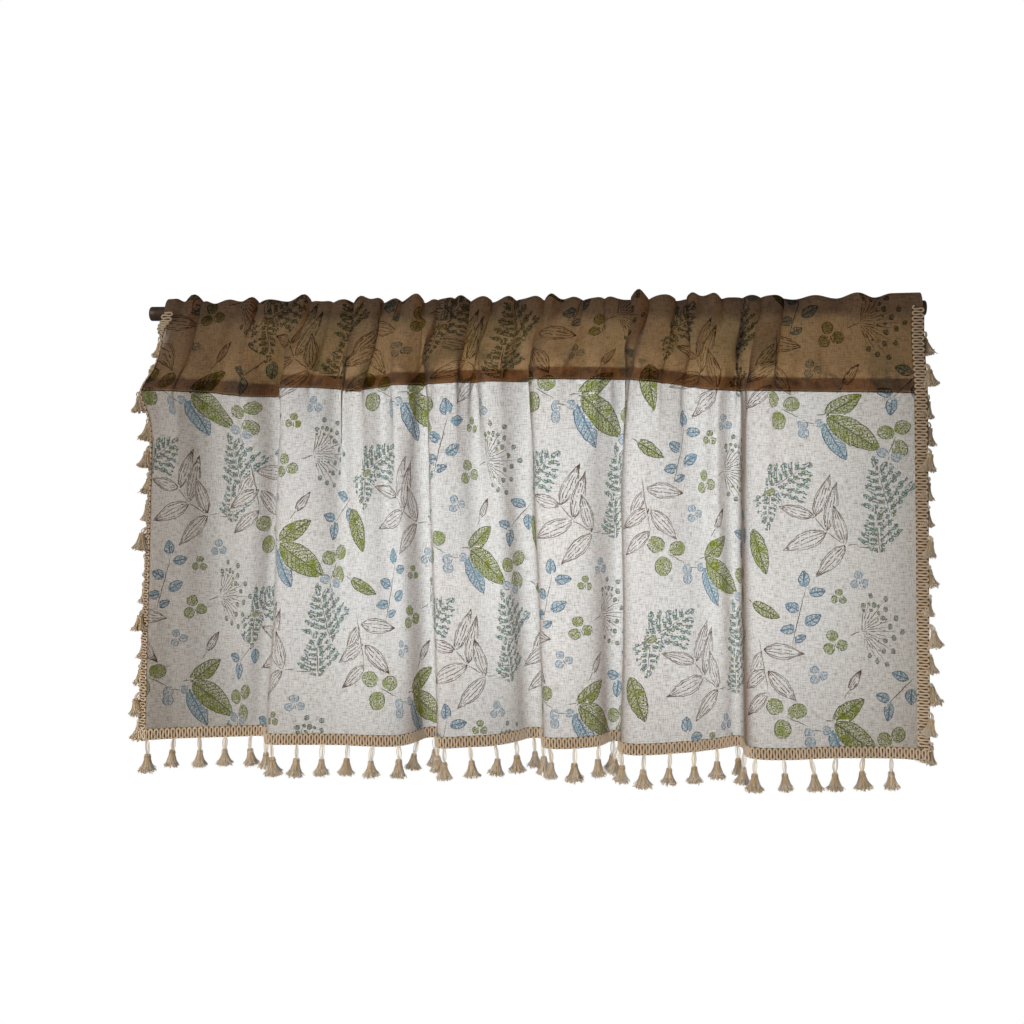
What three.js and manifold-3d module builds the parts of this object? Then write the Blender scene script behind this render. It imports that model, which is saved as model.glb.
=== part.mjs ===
// Short gathered curtain on a rod: one printed cloth panel with a deep rod casing,
// its hem and both side edges trimmed with tassel braid.
// Millimetres, +Z up. The origin is on the rod's axis at mid-width and the front faces -Y.
import * as THREE from 'three';
import { mergeVertices } from 'three/addons/utils/BufferGeometryUtils.js';
import Module from 'manifold-3d';

const wasm = await Module();
wasm.setup();

// Rod
const ROD_RADIUS = 7.5;
const ROD_LEFT = -388;
const ROD_RIGHT = 404;
const ROD_CHAMFER = 1.5;
const ROD_SIDES = 32;

// Cloth
const CLOTH = 1.2;
const ROD_GAP = 0.3;
const ROD_EDGE_LEFT = -368;
const ROD_EDGE_RIGHT = 398;
const POCKET_Z = -60;
const SEAM_Z = -80;
const SEAM_STEP = 2.5;
const HEM_Z = -440;
const CORNER_FLARE = 14;
const CORNER_FLARE_HEIGHT = 24;
const CORNER_FLARE_WIDTH = 45;
const STATIONS = 112;
const BEND_STEP = 6;
const BEND_WEIGHTS = [1, 4, 6, 4, 1].map((share) => share / 16);

// Tassel braid
const BRAID_WIDTH = 10.5;
const BRAID_THICK = 1.8;
const BRAID_GAP = 0.3;
const BRAID_OVERHANG = 2;
const BRAID_CORNER_GAP = 0.4;
const TASSEL_PITCH = 26;
const TASSEL_CLEAR = 15.5;
const TASSEL_MARGIN = 12;
const SIDE_TASSEL_PITCH = 28.5;
const SIDE_TASSEL_TOP = -24;
const SIDE_TASSEL_REACH = 8.6;

// Plan of the folds, a row for each ridge and hollow from left to right:
// where it lies at the casing seam (headX, headY) and at the hem (hemX, hemY).
const FOLDS = [
  { headX: -389, headY: -14, hemX: -400, hemY: -24 },
  { headX: -354, headY: -22, hemX: -352, hemY: -9 },
  { headX: -314, headY: 5, hemX: -308, hemY: 1 },
  { headX: -276, headY: -20, hemX: -287, hemY: 6 },
  { headX: -250, headY: 5, hemX: -273, hemY: 9 },
  { headX: -240, headY: 1, hemX: -264, hemY: 3 },
  { headX: -236, headY: -26, hemX: -258, hemY: -27 },
  { headX: -205, headY: -23, hemX: -215, hemY: -24 },
  { headX: -183, headY: 2, hemX: -178, hemY: -21 },
  { headX: -166, headY: -18, hemX: -155, hemY: -22 },
  { headX: -144, headY: 4, hemX: -124, hemY: -19 },
  { headX: -128, headY: -19, hemX: -109, hemY: -4 },
  { headX: -107, headY: 7, hemX: -97, hemY: 18 },
  { headX: -96, headY: 5, hemX: -85, hemY: 18 },
  { headX: -92, headY: -26, hemX: -81, hemY: -25 },
  { headX: -66, headY: -19, hemX: -52, hemY: -19 },
  { headX: -50, headY: 1, hemX: -25, hemY: -11 },
  { headX: -32, headY: -20, hemX: -4, hemY: 8 },
  { headX: -1, headY: 6, hemX: 9, hemY: 26 },
  { headX: 10, headY: 5, hemX: 22, hemY: 26 },
  { headX: 14, headY: -26, hemX: 27, hemY: -16 },
  { headX: 66, headY: -15, hemX: 78, hemY: -4 },
  { headX: 95, headY: 6, hemX: 92, hemY: 22 },
  { headX: 106, headY: 5, hemX: 104, hemY: 22 },
  { headX: 110, headY: -28, hemX: 108, hemY: -29 },
  { headX: 150, headY: -13, hemX: 165, hemY: -18 },
  { headX: 182, headY: 6, hemX: 192, hemY: -6 },
  { headX: 197, headY: -13, hemX: 209, hemY: 6 },
  { headX: 209, headY: 7, hemX: 217, hemY: 14 },
  { headX: 219, headY: 5, hemX: 228, hemY: 10 },
  { headX: 223, headY: -30, hemX: 232, hemY: -35 },
  { headX: 300, headY: -21, hemX: 318, hemY: -26 },
  { headX: 373, headY: -19, hemX: 378, hemY: -24 },
  { headX: 399, headY: -25, hemX: 400, hemY: -30 },
];

// Gathers bunched on the rod: where each ridge stands and how far it lifts off the rod.
const GATHERS = [
  { x: -362, rise: 5 }, { x: -346, rise: 9 }, { x: -326, rise: 8 }, { x: -300, rise: 4 },
  { x: -276, rise: 6 }, { x: -252, rise: 5 }, { x: -219, rise: 10 }, { x: -186, rise: 6 },
  { x: -167, rise: 7 }, { x: -147, rise: 6 }, { x: -127, rise: 7 }, { x: -108, rise: 8 },
  { x: -93, rise: 6 }, { x: -65, rise: 10 }, { x: -40, rise: 5 }, { x: -14, rise: 9 },
  { x: 7, rise: 6 }, { x: 24, rise: 8 }, { x: 43, rise: 5 }, { x: 72, rise: 6 },
  { x: 107, rise: 11 }, { x: 133, rise: 5 }, { x: 171, rise: 10 }, { x: 192, rise: 6 },
  { x: 226, rise: 7 }, { x: 260, rise: 4 }, { x: 300, rise: 5 }, { x: 340, rise: 7 },
  { x: 372, rise: 5 },
];

// Tassel: a cord, a bound head and three locks that spread below it.
const TASSEL = { cord: 1.2, head: 3.1, neck: 2.7, skirt: 5.6, lockGap: 1.4 };
const TASSEL_DROP = { head: 11, neck: 16.5, tip: 31 };
const SIDE_TASSEL_DROP = { head: 7, neck: 12, tip: 26 };

const linen = new THREE.MeshStandardMaterial({ color: 0xcfc8ba, roughness: 0.95, metalness: 0 });
const braidCotton = new THREE.MeshStandardMaterial({ color: 0xb59a70, roughness: 0.9, metalness: 0 });
const darkSteel = new THREE.MeshStandardMaterial({ color: 0x483e34, roughness: 0.45, metalness: 0.3 });

// Flat cloth: each fold row's distance from the left edge, the mean of its run at the seam and at the hem.
function runTo(xKey, yKey) {
  let run = 0;
  return FOLDS.map((row, i) => {
    const last = FOLDS[Math.max(i - 1, 0)];
    run += Math.hypot(row[xKey] - last[xKey], row[yKey] - last[yKey]);
    return run;
  });
}
const headRun = runTo('headX', 'headY');
const hemRun = runTo('hemX', 'hemY');
const flatAt = headRun.map((run, i) => (run + hemRun[i]) / 2);
const FLAT_WIDTH = flatAt.at(-1);

// A curve through one column of the fold table, read at a distance across the flat cloth.
function foldCurve(key, flat) {
  const last = FOLDS.length - 1;
  const found = flatAt.findIndex((edge) => edge >= flat);
  const right = found < 0 ? last : Math.max(found, 1);
  const left = right - 1;
  const slope = (i) => {
    const before = Math.max(i - 1, 0);
    const after = Math.min(i + 1, last);
    return (FOLDS[after][key] - FOLDS[before][key]) / (flatAt[after] - flatAt[before]);
  };
  const span = flatAt[right] - flatAt[left];
  const t = (flat - flatAt[left]) / span;
  const startWeight = (1 + 2 * t) * (1 - t) ** 2;
  const endWeight = t * t * (3 - 2 * t);
  const startSlope = t * (1 - t) ** 2 * span;
  const endSlope = t * t * (t - 1) * span;
  return startWeight * FOLDS[left][key] + endWeight * FOLDS[right][key]
    + startSlope * slope(left) + endSlope * slope(right);
}

// The same curve, rounded at its bends as cloth of this weight is, and run straight on past both edges.
function foldValue(key, flat) {
  const reflected = (distance) => {
    const edge = THREE.MathUtils.clamp(distance, 0, FLAT_WIDTH);
    const mirrored = foldCurve(key, 2 * edge - distance);
    return edge === distance ? mirrored : 2 * foldCurve(key, edge) - mirrored;
  };
  return BEND_WEIGHTS.reduce((sum, weight, i) => {
    const offset = (i - (BEND_WEIGHTS.length - 1) / 2) * BEND_STEP;
    return sum + weight * reflected(flat + offset);
  }, 0);
}

// How far the gathers lift the cloth off the rod at one point along it.
function gatherRise(x) {
  const right = GATHERS.findIndex((ridge) => ridge.x >= x);
  const after = GATHERS[right < 0 ? GATHERS.length - 1 : right];
  const before = GATHERS[right < 0 ? GATHERS.length - 1 : Math.max(right - 1, 0)];
  if (after === before) {
    return after.rise;
  }
  const t = (x - before.x) / (after.x - before.x);
  const rise = t < 0.5 ? before.rise : after.rise;
  return rise * (0.5 + 0.5 * Math.cos(2 * Math.PI * t));
}

const rodX = (flat) => THREE.MathUtils.lerp(ROD_EDGE_LEFT, ROD_EDGE_RIGHT, flat / FLAT_WIDTH);

// Middle of the hanging cloth, seen from above, at a flat position and a height.
function foldPlan(flat, z) {
  const headX = foldValue('headX', flat);
  const headY = foldValue('headY', flat);
  const seamDistance = (z - SEAM_Z) / CORNER_FLARE_HEIGHT;
  const flare = CORNER_FLARE * Math.exp(-(seamDistance ** 2) - flat / CORNER_FLARE_WIDTH);
  if (z > SEAM_Z) {
    const gathered = Math.min(z / SEAM_Z, 1);
    return {
      x: THREE.MathUtils.lerp(rodX(flat), headX, gathered) - flare,
      y: headY * gathered * gathered * (3 - 2 * gathered),
    };
  }
  const fallen = (SEAM_Z - z) / (SEAM_Z - HEM_Z);
  return {
    x: THREE.MathUtils.lerp(headX, foldValue('hemX', flat), fallen) - flare,
    y: THREE.MathUtils.lerp(headY, foldValue('hemY', flat), fallen),
  };
}

// A point set off from the middle of the cloth: positive towards the room, negative to the back.
function clothPoint(flat, z, towardsRoom, along = 0) {
  const step = 0.5;
  const low = foldPlan(Math.max(flat - step, 0), z);
  const high = foldPlan(Math.min(flat + step, FLAT_WIDTH), z);
  const mid = foldPlan(flat, z);
  const run = Math.hypot(high.x - low.x, high.y - low.y);
  const dx = (high.x - low.x) / run;
  const dy = (high.y - low.y) / run;
  return new THREE.Vector3(mid.x + dy * towardsRoom + dx * along, mid.y - dx * towardsRoom + dy * along, z);
}

// Half the distance between the casing's two layers, at their middles.
function layerSpread(flat, z) {
  const open = THREE.MathUtils.clamp((z - POCKET_Z) / -POCKET_Z, 0, 1);
  return THREE.MathUtils.lerp(CLOTH / 2, rodSpread(flat), open);
}
const OVER_ROD = [45, 90, 135].map((angle) => THREE.MathUtils.degToRad(angle));
const CORNER_REACH = 1 / Math.cos(OVER_ROD[0] / 2);
const rodSpread = (flat) => (ROD_RADIUS + ROD_GAP) * CORNER_REACH + CLOTH / 2 + gatherRise(rodX(flat));

// Front face of the cloth, which the braid lies on.
const frontOffset = (flat, z) => layerSpread(flat, z) + CLOTH / 2;

// Casing over the rod, from the front round to the back.
function overRod(flat, outwards) {
  const reach = rodSpread(flat) + outwards;
  return OVER_ROD.map((angle) => {
    return new THREE.Vector3(rodX(flat), -reach * Math.cos(angle), reach * Math.sin(angle));
  });
}

const PANEL_ROWS = [HEM_Z, HEM_Z + BRAID_WIDTH, -350, -260, -180, -125];
const CASING_ROWS = [SEAM_Z, POCKET_Z, -40, -20, 0];
const POCKET_ROWS = [-40, -20, 0];

function clothOutline(flat) {
  const half = CLOTH / 2;
  const front = [...PANEL_ROWS, ...CASING_ROWS].map((z) => clothPoint(flat, z, frontOffset(flat, z)));
  const back = CASING_ROWS.map((z) => clothPoint(flat, z, -layerSpread(flat, z) - half)).reverse();
  const panelRows = [...PANEL_ROWS, SEAM_Z - SEAM_STEP];
  const panelBack = panelRows.map((z) => clothPoint(flat, z, 0)).reverse();
  return [...front, ...overRod(flat, half), ...back, ...panelBack];
}

function pocketOutline(flat) {
  const half = CLOTH / 2;
  const front = POCKET_ROWS.map((z) => clothPoint(flat, z, layerSpread(flat, z) - half));
  const back = POCKET_ROWS.map((z) => clothPoint(flat, z, half - layerSpread(flat, z))).reverse();
  return [clothPoint(flat, POCKET_Z, 0), ...front, ...overRod(flat, -half), ...back];
}

// A closed solid through a row of like outlines, with an optional tunnel through it.
// Its ends are ladders: pairs of points that face each other across the outline.
const STRIP_LADDERS = [[[0, 3], [1, 2]]];
function loft(outlines, tunnels = [], ladders = STRIP_LADDERS) {
  const points = [];
  const index = [];
  const addWall = (rings, inwards) => {
    const first = points.length;
    const count = rings[0].length;
    rings.forEach((ring) => points.push(...ring));
    for (let i = 0; i < rings.length - 1; i += 1) {
      for (let j = 0; j < count; j += 1) {
        const a = first + i * count + j;
        const b = first + i * count + (j + 1) % count;
        const quad = [a, a + count, b, b, a + count, b + count];
        index.push(...(inwards ? quad.reverse() : quad));
      }
    }
    return first;
  };
  const outer = addWall(outlines, false);
  const inner = tunnels.length ? addWall(tunnels, true) : 0;
  const addEnd = (station) => {
    const outline = outlines[station];
    const tunnel = tunnels[station] ?? [];
    const ids = [
      ...outline.map((p, j) => outer + station * outline.length + j),
      ...tunnel.map((p, j) => inner + station * tunnel.length + j),
    ];
    const addFace = (face) => {
      if (new Set(face).size === 3) {
        const corners = face.map((j) => ids[j]);
        index.push(...(station === 0 ? corners : corners.reverse()));
      }
    };
    ladders.forEach((ladder) => ladder.slice(1).forEach(([c, d], rung) => {
      const [a, b] = ladder[rung];
      addFace([a, c, b]);
      addFace([b, c, d]);
    }));
  };
  addEnd(0);
  addEnd(outlines.length - 1);
  const geometry = new THREE.BufferGeometry().setFromPoints(points);
  geometry.setIndex(index);
  return geometry;
}

// Side edges of the cloth: the panel and the sewn-down casing, then the ring around the pocket.
function clothLadders() {
  const outline = clothOutline(0).length;
  const pocket = pocketOutline(0).length;
  const seam = PANEL_ROWS.length;
  const backSeam = outline - PANEL_ROWS.length - 2;
  const panel = Array.from({ length: seam + 1 }, (_, row) => [row, outline - 1 - row]);
  const sewn = [[seam, backSeam], [seam + 1, backSeam - 1], [outline, outline]];
  const ring = Array.from({ length: pocket + 1 }, (_, i) => [seam + 1 + i, outline + (i % pocket)]);
  return [[...panel, ...sewn], ring];
}

function toSolid(geometry) {
  const bare = geometry.clone();
  bare.deleteAttribute('normal');
  bare.deleteAttribute('uv');
  const merged = mergeVertices(bare);
  return new wasm.Manifold(new wasm.Mesh({
    numProp: 3,
    vertProperties: new Float32Array(merged.attributes.position.array),
    triVerts: new Uint32Array(merged.index.array),
  }));
}

function toGeometry(solid) {
  const mesh = solid.getMesh();
  const geometry = new THREE.BufferGeometry();
  geometry.setAttribute('position', new THREE.BufferAttribute(mesh.vertProperties, 3));
  geometry.setIndex(new THREE.BufferAttribute(mesh.triVerts, 1));
  return geometry;
}

// A tassel hung from a root point. Its cord is led sideways by lead, then everything hangs straight down.
function tassel(root, lead, drop, turn) {
  const hung = root.clone().add(lead);
  const ring = (count, radius, centre, z) => Array.from({ length: count }, (_, i) => {
    const angle = turn + (i / count) * 2 * Math.PI;
    return new THREE.Vector3(centre.x + radius * Math.cos(angle), centre.y + radius * Math.sin(angle), z);
  });
  const points = [];
  const index = [];
  const add = (ringPoints) => points.push(...ringPoints) - ringPoints.length;
  const top = add(ring(3, TASSEL.cord, root, root.z));
  const cord = add(ring(3, TASSEL.cord, hung, root.z - drop.head));
  const head = add(ring(6, TASSEL.head, hung, root.z - drop.head - 1));
  const neck = add(ring(6, TASSEL.neck, hung, root.z - drop.neck));
  const core = add([new THREE.Vector3(hung.x, hung.y, root.z - drop.neck)]);
  index.push(top, top + 1, top + 2);
  for (let i = 0; i < 3; i += 1) {
    const next = (i + 1) % 3;
    index.push(top + i, cord + i, cord + next, top + i, cord + next, top + next);
    const h = [2 * i, 2 * i + 1, (2 * i + 2) % 6].map((j) => head + j);
    index.push(cord + i, h[0], h[1], cord + i, h[1], cord + next, cord + next, h[1], h[2]);
  }
  for (let i = 0; i < 6; i += 1) {
    const next = (i + 1) % 6;
    index.push(head + i, neck + i, neck + next, head + i, neck + next, head + next);
  }
  for (let i = 0; i < 3; i += 1) {
    const roots = [core, neck + 2 * i, neck + 2 * i + 1, neck + (2 * i + 2) % 6];
    const mid = points[roots[2]].clone().sub(points[core]).normalize();
    const tips = add(roots.map((id) => {
      const spread = points[id].clone().sub(points[core]).multiplyScalar(TASSEL.skirt / TASSEL.neck);
      const tip = hung.clone().add(spread).addScaledVector(mid, TASSEL.lockGap);
      tip.z = root.z - drop.tip;
      return tip;
    }));
    for (let j = 0; j < 4; j += 1) {
      const next = (j + 1) % 4;
      index.push(roots[j], tips + j, tips + next, roots[j], tips + next, roots[next]);
    }
    index.push(tips, tips + 2, tips + 1, tips, tips + 3, tips + 2);
  }
  const geometry = new THREE.BufferGeometry().setFromPoints(points);
  geometry.setIndex(index);
  return toSolid(geometry);
}

const TURN_STEP = 2.4;
function trim(strip, tassels) {
  return toGeometry(tassels.reduce((joined, one) => joined.add(one), toSolid(strip)));
}

// Distances across the flat cloth where its section is drawn; the end ones are a braid's width in.
const inner = FLAT_WIDTH - 2 * BRAID_WIDTH;
const stations = [0];
for (let i = 0; i <= STATIONS; i += 1) {
  stations.push(BRAID_WIDTH + (inner * i) / STATIONS);
}
stations.push(FLAT_WIDTH);

const braidBack = (flat, z) => frontOffset(flat, z) + BRAID_GAP;
const braidFront = (flat, z) => braidBack(flat, z) + BRAID_THICK;

// Hem braid: a strip in front of the hem that hangs just below it, with a tassel every pitch.
function hemTrim() {
  const upper = HEM_Z + BRAID_WIDTH;
  const top = upper - BRAID_CORNER_GAP;
  const bottom = HEM_Z - BRAID_OVERHANG;
  const section = (flat) => {
    const along = flat === 0 ? -BRAID_OVERHANG : Number(flat === FLAT_WIDTH) * BRAID_OVERHANG;
    const at = (offset, row, z) => clothPoint(flat, row, offset(flat, row), along).setZ(z);
    return [
      at(braidFront, HEM_Z, bottom), at(braidFront, upper, top),
      at(braidBack, upper, top), at(braidBack, HEM_Z, bottom),
    ];
  };
  const strip = loft(stations.map(section));
  const tassels = hemTasselRoots().map((root, i) => {
    return tassel(root, new THREE.Vector3(), TASSEL_DROP, i * TURN_STEP);
  });
  return trim(strip, tassels);
}

// Tassel roots along the hem braid: a pitch apart, and moved on where a fold brings two too close.
function hemTasselRoots() {
  const roots = [];
  let last = null;
  let run = TASSEL_PITCH - TASSEL_MARGIN;
  for (let flat = 0; flat < FLAT_WIDTH - TASSEL_MARGIN; flat += 1) {
    const middle = (braidFront(flat, HEM_Z) + braidBack(flat, HEM_Z)) / 2;
    const root = clothPoint(flat, HEM_Z, middle).setZ(HEM_Z - BRAID_OVERHANG / 2);
    run += last ? root.distanceTo(last) : 0;
    last = root;
    if (run >= TASSEL_PITCH && roots.every((other) => other.distanceTo(root) > TASSEL_CLEAR)) {
      roots.push(root);
      run = 0;
    }
  }
  return roots;
}

// Side braid: a strip up one side edge, with tassels that hang just outside it.
function sideTrim(edge, inside, outwards) {
  const rows = [...PANEL_ROWS.slice(1), ...CASING_ROWS];
  const section = (z) => {
    const at = (flat, offset, along) => clothPoint(flat, z, offset(flat, z), along);
    const overhang = outwards * BRAID_OVERHANG;
    return [
      at(edge, braidBack, overhang), at(edge, braidFront, overhang),
      at(inside, braidFront, 0), at(inside, braidBack, 0),
    ];
  };
  const sections = rows.map(section);
  const strip = loft(outwards < 0 ? sections.map((ring) => ring.toReversed()) : sections);
  const count = 1 + Math.floor((SIDE_TASSEL_TOP - HEM_Z - BRAID_WIDTH) / SIDE_TASSEL_PITCH);
  const tassels = Array.from({ length: count }, (_, i) => {
    const z = SIDE_TASSEL_TOP - i * SIDE_TASSEL_PITCH;
    const root = rowPoint(rows, sections, z);
    const below = Array.from({ length: SIDE_TASSEL_DROP.tip }, (_, drop) => outwards * edgeX(edge, z - drop));
    const lead = new THREE.Vector3(outwards * (Math.max(...below) + SIDE_TASSEL_REACH) - root.x, 0, 0);
    return tassel(root, lead, SIDE_TASSEL_DROP, i * TURN_STEP);
  });
  return trim(strip, tassels);
}

// How far out a side edge of the cloth lies at a height.
const edgeX = (edge, z) => clothPoint(edge, z, 0).x;

// Middle of a side braid's overhanging edge at a height, on the straight run between two rows.
function rowPoint(rows, sections, z) {
  const upper = rows.findIndex((row) => row >= z);
  const t = (z - rows[upper - 1]) / (rows[upper] - rows[upper - 1]);
  const edgeMiddle = (ring) => new THREE.Vector3().addVectors(ring[0], ring[1]).multiplyScalar(0.5);
  return edgeMiddle(sections[upper - 1]).lerp(edgeMiddle(sections[upper]), t);
}

function rodBody() {
  const flatRadius = ROD_RADIUS - ROD_CHAMFER;
  const profile = [
    [0, ROD_LEFT], [flatRadius, ROD_LEFT], [ROD_RADIUS, ROD_LEFT + ROD_CHAMFER],
    [ROD_RADIUS, ROD_RIGHT - ROD_CHAMFER], [flatRadius, ROD_RIGHT], [0, ROD_RIGHT],
  ].map(([radius, x]) => new THREE.Vector2(radius, x));
  return new THREE.LatheGeometry(profile, ROD_SIDES).rotateZ(-Math.PI / 2);
}

const curtain = new THREE.Group();
function addPiece(name, geometry, material) {
  const mesh = new THREE.Mesh(geometry, material);
  mesh.name = name;
  curtain.add(mesh);
}
addPiece('rod', rodBody(), darkSteel);
const cloth = loft(stations.map(clothOutline), stations.map(pocketOutline), clothLadders());
addPiece('curtain_cloth', cloth, linen);
addPiece('hem_tassel_trim', hemTrim(), braidCotton);
addPiece('left_tassel_trim', sideTrim(0, BRAID_WIDTH, -1), braidCotton);
addPiece('right_tassel_trim', sideTrim(FLAT_WIDTH, FLAT_WIDTH - BRAID_WIDTH, 1), braidCotton);

export default curtain;
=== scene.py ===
import math

import bpy
import numpy as np
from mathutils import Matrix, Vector


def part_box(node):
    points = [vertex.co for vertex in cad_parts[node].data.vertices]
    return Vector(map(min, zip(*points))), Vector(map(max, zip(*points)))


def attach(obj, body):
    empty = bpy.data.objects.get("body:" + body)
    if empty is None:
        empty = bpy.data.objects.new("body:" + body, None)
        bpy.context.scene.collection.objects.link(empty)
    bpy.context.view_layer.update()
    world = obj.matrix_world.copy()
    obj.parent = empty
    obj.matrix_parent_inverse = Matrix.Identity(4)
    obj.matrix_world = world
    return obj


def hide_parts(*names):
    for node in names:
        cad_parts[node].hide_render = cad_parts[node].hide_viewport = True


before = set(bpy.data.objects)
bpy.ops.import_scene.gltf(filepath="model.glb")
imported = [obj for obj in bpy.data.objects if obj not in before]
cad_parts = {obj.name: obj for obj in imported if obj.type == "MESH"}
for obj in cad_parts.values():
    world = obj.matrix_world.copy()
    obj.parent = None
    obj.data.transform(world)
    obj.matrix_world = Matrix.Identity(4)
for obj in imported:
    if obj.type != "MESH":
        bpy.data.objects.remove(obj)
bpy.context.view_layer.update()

# Camera
# It stands level, a little right of the middle, and is turned slightly left, so the right side is nearer.
# The lens is let down instead of tilted, which keeps upright lines upright.
MM = 0.001
CAMERA_DISTANCE = 1300 * MM
CAMERA_HEIGHT = -111 * MM
CAMERA_YAW = math.radians(5.3)
AIM_X = -7 * MM
AIM_Y = -10 * MM
LENS = 45.1
LENS_DROP = -0.09

camera_data = bpy.data.cameras.new("camera")
camera_data.lens = LENS
camera_data.sensor_width = 36
camera_data.shift_y = LENS_DROP
camera = bpy.data.objects.new("camera", camera_data)
camera.location = (
    AIM_X + CAMERA_DISTANCE * math.sin(CAMERA_YAW),
    AIM_Y - CAMERA_DISTANCE * math.cos(CAMERA_YAW),
    CAMERA_HEIGHT,
)
camera.rotation_euler = (math.pi / 2, 0, CAMERA_YAW)
bpy.context.collection.objects.link(camera)
bpy.context.scene.camera = camera
bpy.context.scene.view_settings.view_transform = "Standard"

# Studio
# A plain pale floor well below the hanging cloth, and a white surround.
# Two cool panels behind shine through the cloth, one near with a narrow beam and one far and broad.
# In front a warm broad panel lights it all, and a low one lights the hem.
FLOOR_Z = -1450 * MM
FLOOR_SIZE = 1900 * MM
PANELS = {
    "window_panel": {
        "size": (0.68, 0.5), "place": (0.06, 0.5, -0.218), "aim": (0.02, 0, -0.218),
        "spread": 50, "watts": 5.6, "colour": "#89b0ff",
    },
    "sky_panel": {
        "size": (2.2, 1.6), "place": (0.1, 1.2, -0.2), "aim": (0, 0, -0.22),
        "spread": 180, "watts": 9.1, "colour": "#b5ceff",
    },
    "room_panel": {
        "size": (1.5, 1.1), "place": (-0.95, -1.6, 0.5), "aim": (0, 0, -0.22),
        "spread": 180, "watts": 20, "colour": "#fff0de",
    },
    "low_panel": {
        "size": (1.3, 0.12), "place": (-0.1, -1.3, -0.75), "aim": (0, 0, -0.47),
        "spread": 34, "watts": 0.85, "colour": "#fff8ee",
    },
}
FLOOR_COLOUR = "#e9e6e0"
FLOOR_MOTTLE = 32 * MM
WHITE = (1, 1, 1, 1)
SURROUND_SEEN = 1.0
SURROUND_LIGHT = 0.12
NOISE = "ShaderNodeTexNoise"
RANGE = "ShaderNodeMapRange"
PLACE = "ShaderNodeTexCoord"
PRINCIPLED = "ShaderNodeBsdfPrincipled"
MIX_SHADER = "ShaderNodeMixShader"
SURFACE_OUT = "ShaderNodeOutputMaterial"


def linear(hex_colour):
    """An sRGB hex colour as linear red, green, blue and alpha."""
    parts = [int(hex_colour[i:i + 2], 16) / 255 for i in (1, 3, 5)]
    return [p / 12.92 if p <= 0.04045 else ((p + 0.055) / 1.055) ** 2.4 for p in parts] + [1.0]


def add_node(tree, kind, inputs=(), **settings):
    """A node with its settings and its inputs, in order or by key: values, or sockets and nodes to link."""
    made = tree.nodes.new(kind)
    for name, value in settings.items():
        setattr(made, name, value)
    for key, value in inputs.items() if isinstance(inputs, dict) else enumerate(inputs):
        if isinstance(value, bpy.types.Node):
            value = next(socket for socket in value.outputs if socket.enabled)
        if isinstance(value, bpy.types.NodeSocket):
            tree.links.new(value, made.inputs[key])
        else:
            made.inputs[key].default_value = value
    return made


def new_material(name):
    """A material with an empty node tree, and that tree."""
    material = bpy.data.materials.new(name)
    material.use_nodes = True
    material.node_tree.nodes.clear()
    return material, material.node_tree


def add_object(name, mesh):
    """An object at the origin in the scene."""
    made = bpy.data.objects.new(name, mesh)
    bpy.context.collection.objects.link(made)
    return made


for name, panel in PANELS.items():
    light = bpy.data.lights.new(name, "AREA")
    light.shape = "RECTANGLE"
    light.size, light.size_y = panel["size"]
    light.energy = panel["watts"]
    light.spread = math.radians(panel["spread"])
    light.color = linear(panel["colour"])[:3]
    lamp = add_object(name, light)
    lamp.location = panel["place"]
    lamp.rotation_euler = (Vector(panel["aim"]) - lamp.location).to_track_quat("-Z", "Y").to_euler()
    lamp.visible_camera = False

world = bpy.data.worlds.new("surround")
world.use_nodes = True
world.node_tree.nodes.clear()
tree = world.node_tree
seen = add_node(tree, "ShaderNodeBackground", (WHITE, SURROUND_SEEN))
lit = add_node(tree, "ShaderNodeBackground", (WHITE, SURROUND_LIGHT))
to_camera = add_node(tree, "ShaderNodeLightPath").outputs["Is Camera Ray"]
surround = add_node(tree, MIX_SHADER, (to_camera, lit, seen))
add_node(tree, "ShaderNodeOutputWorld", {"Surface": surround})
bpy.context.scene.world = world

# Matt floor paint: pale and even, with a faint mottle in its shine.
floor_paint, tree = new_material("matt_floor_paint")
place = add_node(tree, PLACE).outputs["Object"]
mottle = add_node(tree, NOISE, {"Vector": place, "Scale": 1 / FLOOR_MOTTLE, "Detail": 3.0})
floor_rough = add_node(tree, RANGE, {0: mottle, 3: 0.75, 4: 0.95})
floor_shader = add_node(tree, PRINCIPLED, {"Base Color": linear(FLOOR_COLOUR), "Roughness": floor_rough})
add_node(tree, SURFACE_OUT, {"Surface": floor_shader})
half_floor = FLOOR_SIZE / 2
floor_mesh = bpy.data.meshes.new("floor")
floor_mesh.from_pydata([
    (-half_floor, -half_floor, FLOOR_Z), (half_floor, -half_floor, FLOOR_Z),
    (half_floor, half_floor, FLOOR_Z), (-half_floor, half_floor, FLOOR_Z),
], [], [(0, 1, 2, 3)])
floor_mesh.materials.append(floor_paint)
add_object("floor", floor_mesh)

# Rod
# A thin-walled steel tube in satin bronze paint, closed at each end by a pushed-in cap with a soft edge.
# It runs through the casing, and its left end shows past the cloth. Sizes are in mm, which MM makes metres.
ROD_RADIUS = 7.5
ROD_CHAMFER = 1.5
ROD_SIDES = 48
ROD_CAP = 9.0
CAP_GROOVE = 0.35
BRONZE_PAINT = "#4a4038"
BRONZE_WORN = "#6b5d4e"
PEEL_GRAIN = 0.8 * MM
WEAR_PATCH = 14 * MM
FULL_TURN = 2 * math.pi
MIX = "ShaderNodeMix"
BUMP = "ShaderNodeBump"
rod_low, rod_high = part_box("rod")


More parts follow.
